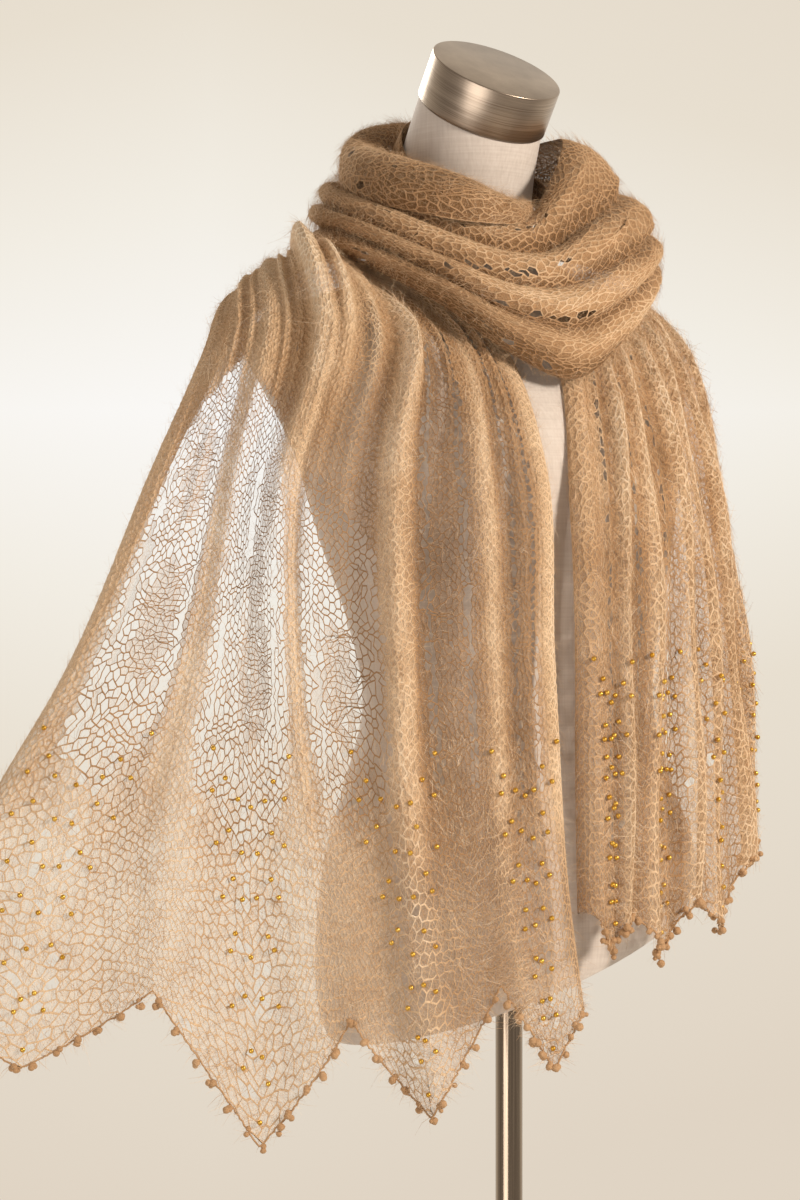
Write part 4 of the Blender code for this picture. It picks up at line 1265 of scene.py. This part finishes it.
def capShell():
    radius, height, groove = cap["radius"], cap["height"], cap["groove"]
    neck = radius - groove
    profile = ((0, height), (radius, height), (radius, groove), (neck, groove), (neck, 0), (0, 0))
    shape = softEdges(turned(profile, 96), cap["softEdge"])
    tilt = Matrix.Translation(cap["seat"]) @ Matrix.Rotation(neckLean, 4, "X")
    bmesh.ops.transform(shape, matrix=tilt, verts=shape.verts)
    return shape


def poleTube():
    shape = bmesh.new()
    bottom = stand["baseHeight"] + stand["gap"]
    radius = stand["poleRadius"]
    bmesh.ops.create_cone(shape, cap_ends=True, segments=64, radius1=radius, radius2=radius, depth=1)
    for vert in shape.verts:
        vert.co.z = formRings[0][0] + formRings[0][4] * vert.co.x - 0.0005 if vert.co.z > 0 else bottom
    return shape


def baseDisc():
    radius, height = stand["baseRadius"], stand["baseHeight"]
    profile = ((0, height), (stand["collarRadius"] * 1.4, height), (radius - 0.012, height - 0.004),
               (radius - 0.003, height - 0.0056), (radius, height - 0.0095), (radius, 0.001),
               (radius - 0.001, 0), (0, 0))
    return turned(profile, 128)


def collarRing():
    inner = stand["poleRadius"] + stand["gap"]
    bottom = stand["baseHeight"] + stand["gap"]
    top, outer, foot = bottom + stand["collarHeight"], inner + 0.006, stand["collarRadius"]
    profile = ((inner, top), (outer - 0.002, top), (outer, top - 0.002), (outer, bottom + 0.012),
               (outer + 0.003, bottom + 0.008), (foot - 0.002, bottom + 0.005), (foot, bottom + 0.003),
               (foot, bottom), (inner, bottom), (inner, top))
    return turned(profile, 64)


def linenMaterial():
    material, tree, shader = newMaterial("linenCover", Roughness=0.8, Sheen_Weight=0.15)
    streak = noise(tree, mapped(tree, objectPlace(tree), Scale=(480.0, 480.0, 14.0)), 1.0, 4.0)
    weft = noise(tree, mapped(tree, objectPlace(tree), Scale=(16.0, 16.0, 620.0)), 1.0, 2.0)
    weave = maths(tree, "MULTIPLY", timesPlus(tree, weft, 0.8, streak), 0.555)
    tree.links.new(addRamp(tree, weave, form["colours"]), shader.inputs["Base Color"])
    addBump(tree, shader, weave, 0.35, 0.0006)
    return material


def brushedMaterial(name, dark, light, roughness, turn=(0, 0, 0), scale=(14.0, 14.0, 1400.0)):
    material, tree, shader = newMaterial(name, Metallic=1.0, Roughness=roughness)
    stretched = mapped(tree, mapped(tree, objectPlace(tree), Rotation=turn), Scale=scale)
    brush = noise(tree, stretched, 1.0, 5.0, 0.65)
    tree.links.new(addRamp(tree, brush, ((0.3, dark), (0.7, light))), shader.inputs["Base Color"])
    spread = {"Value": brush, "To Min": roughness - 0.08, "To Max": roughness + 0.1}
    rough = addNode(tree, "ShaderNodeMapRange", spread)
    tree.links.new(rough.outputs["Result"], shader.inputs["Roughness"])
    addBump(tree, shader, brush, 0.12, 0.0003)
    return material


brushedCap = brushedMaterial("brushedCap", "93867a", "c9bcae", 0.33, (-neckLean, 0, 0))
chromeTube = brushedMaterial("chromeTube", "8d8074", "b5a898", 0.16, scale=(900.0, 900.0, 6.0))
brushedBase = brushedMaterial("brushedBase", "857c74", "aca299", 0.34, scale=(60.0, 60.0, 60.0))


def hardPiece(name, shape, material, sharp):
    # edges sharper than this angle stay sharp in the shading
    piece = newObject(name, shape, material)
    piece.data.set_sharp_from_angle(angle=sharp)
    return piece


formPiece = hardPiece("linenForm", formShell(), linenMaterial(), 0.9)
capPiece = hardPiece("steelNeckCap", capShell(), brushedCap, 0.6)
polePiece = hardPiece("chromePole", poleTube(), chromeTube, 0.6)
collarPiece = hardPiece("poleCollar", collarRing(), chromeTube, 0.7)
basePiece = hardPiece("roundBase", baseDisc(), brushedBase, 0.5)
print("form and stand made")


# Floor, light and camera

# the photograph's middle and its pole, in pixels, and pixels in a metre at the pole
photo = {"middle": 400, "pole": 509, "perMetre": 1250}
view = {"distance": 2.5, "height": 1.126, "lens": 93.75, "sensor": 36, "lampsAim": 1.2}
backdrop = {
    "glow": ((0.02, "faf8f5"), (0.25, "f2ede3"), (0.48, "e8dfd0"), (0.95, "e0d4c4")),
    "light": ((0.0, "8f8478"), (0.55, "d8cbb9"), (1.0, "f7efe3")),
    "strength": 1.08,
    # shift of the glow's middle and how fast it fades
    "across": (0.06, 1.0),
    "up": (-0.06, 3.6),
    "floorRadius": 1.3,
    "floorDrop": 0.0006,
}
floorShape = bmesh.new()
bmesh.ops.create_circle(floorShape, cap_ends=True, segments=96, radius=backdrop["floorRadius"])
bmesh.ops.translate(floorShape, vec=(0, 0, -backdrop["floorDrop"]), verts=floorShape.verts)
floorMaterial, _, floorShader = newMaterial("paleFloor", Roughness=0.9)
floorShader.inputs["Base Color"].default_value = linear("d3ccc2")
floor = newObject("floor", floorShape, floorMaterial)

across = Vector((math.cos(viewTurn), -math.sin(viewTurn), 0))
toward = Vector((-math.sin(viewTurn), -math.cos(viewTurn), 0))


def areaLight(name, place, size, power, colour):
    data = bpy.data.lights.new(name, "AREA")
    data.shape, data.size, data.energy, data.color = "DISK", size, power, linear(colour)[:3]
    lamp = bpy.data.objects.new(name, data)
    bpy.context.scene.collection.objects.link(lamp)
    lamp.location = across * place[0] + toward * place[1] + Vector((0, 0, place[2]))
    aim = Vector((0, 0, view["lampsAim"])) - lamp.location
    lamp.rotation_euler = aim.to_track_quat("-Z", "Y").to_euler()


areaLight("keyLight", (1.8, 1.35, 1.85), 0.5, 54, "fff0de")
areaLight("fillLight", (-1.1, 2.0, 0.6), 1.6, 19, "fff4e8")
areaLight("rimLight", (-0.9, -1.6, 2.1), 1.0, 18, "fff8ee")

# the backdrop glows behind the object; as light it is dimmer, and dimmest from the camera's side
world = bpy.data.worlds.new("studio")
world.use_nodes = True
worldTree = world.node_tree
direction = addNode(worldTree, "ShaderNodeTexCoord").outputs["Generated"]


def shareAlong(axis):
    inputs = {0: direction, 1: axis}
    return addNode(worldTree, "ShaderNodeVectorMath", inputs, operation="DOT_PRODUCT").outputs["Value"]


def along(axis, shift, size):
    # how far the direction lies from the glow, one way
    apart = maths(worldTree, "ABSOLUTE", maths(worldTree, "ADD", shareAlong(axis), shift))
    return maths(worldTree, "MULTIPLY", apart, size)


sideways, upward = along(across, *backdrop["across"]), along(Vector((0, 0, 1)), *backdrop["up"])
glow = addRamp(worldTree, maths(worldTree, "ADD", sideways, upward), backdrop["glow"])
soft = addRamp(worldTree, shareAlong(-toward), backdrop["light"])
lit = addNode(worldTree, "ShaderNodeBackground", {"Color": soft, "Strength": backdrop["strength"]})
seen = worldTree.nodes["Background"]
worldTree.links.new(glow, seen.inputs["Color"])
cameraRay = addNode(worldTree, "ShaderNodeLightPath").outputs["Is Camera Ray"]
both = addNode(worldTree, "ShaderNodeMixShader", {"Fac": cameraRay, 1: lit.outputs[0], 2: seen.outputs[0]})
worldTree.links.new(both.outputs[0], worldTree.nodes["World Output"].inputs["Surface"])
bpy.context.scene.world = world
bpy.context.scene.view_settings.view_transform = "Standard"

cameraData = bpy.data.cameras.new("camera")
cameraData.sensor_fit = "VERTICAL"
cameraData.sensor_height = view["sensor"]
cameraData.lens = view["lens"]
camera = bpy.data.objects.new("camera", cameraData)
bpy.context.scene.collection.objects.link(camera)
aside = (photo["middle"] - photo["pole"]) / photo["perMetre"]
camera.location = across * aside + toward * view["distance"] + Vector((0, 0, view["height"]))
camera.rotation_euler = (math.pi / 2, 0, -viewTurn)
bpy.context.scene.camera = camera
print("light and camera placed")


# Each piece rides on the stand, takes the place of its solid and is listed with a finish of the record

for piece, node, slot in (
        (rightPiece, "right_end", "camel_mohair"), (leftPiece, "left_end", "camel_mohair"),
        (frontPiece, "neck_wrap_front", "camel_mohair"), (backPiece, "neck_wrap_back", "camel_mohair"),
        (rollPiece, "neck_wrap_roll", "camel_mohair"), (innerPiece, "neck_wrap_inner", "camel_mohair"),
        (rightPicot, "right_picot_edge", "camel_mohair_edge"),
        (leftPicot, "left_picot_edge", "camel_mohair_edge"),
        (formPiece, "dress_form", "white_jersey"), (capPiece, "neck_cap", "brushed_steel"),
        (polePiece, "pole", "polished_chrome"), (collarPiece, "pole_collar", "polished_chrome"),
        (basePiece, "base_plate", "brushed_steel")):
    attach(piece, "root")
    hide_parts(node)
for piece in (*hairPieces, rightBeads, leftBeads):
    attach(piece, "root")

bpy.context.view_layer.update()
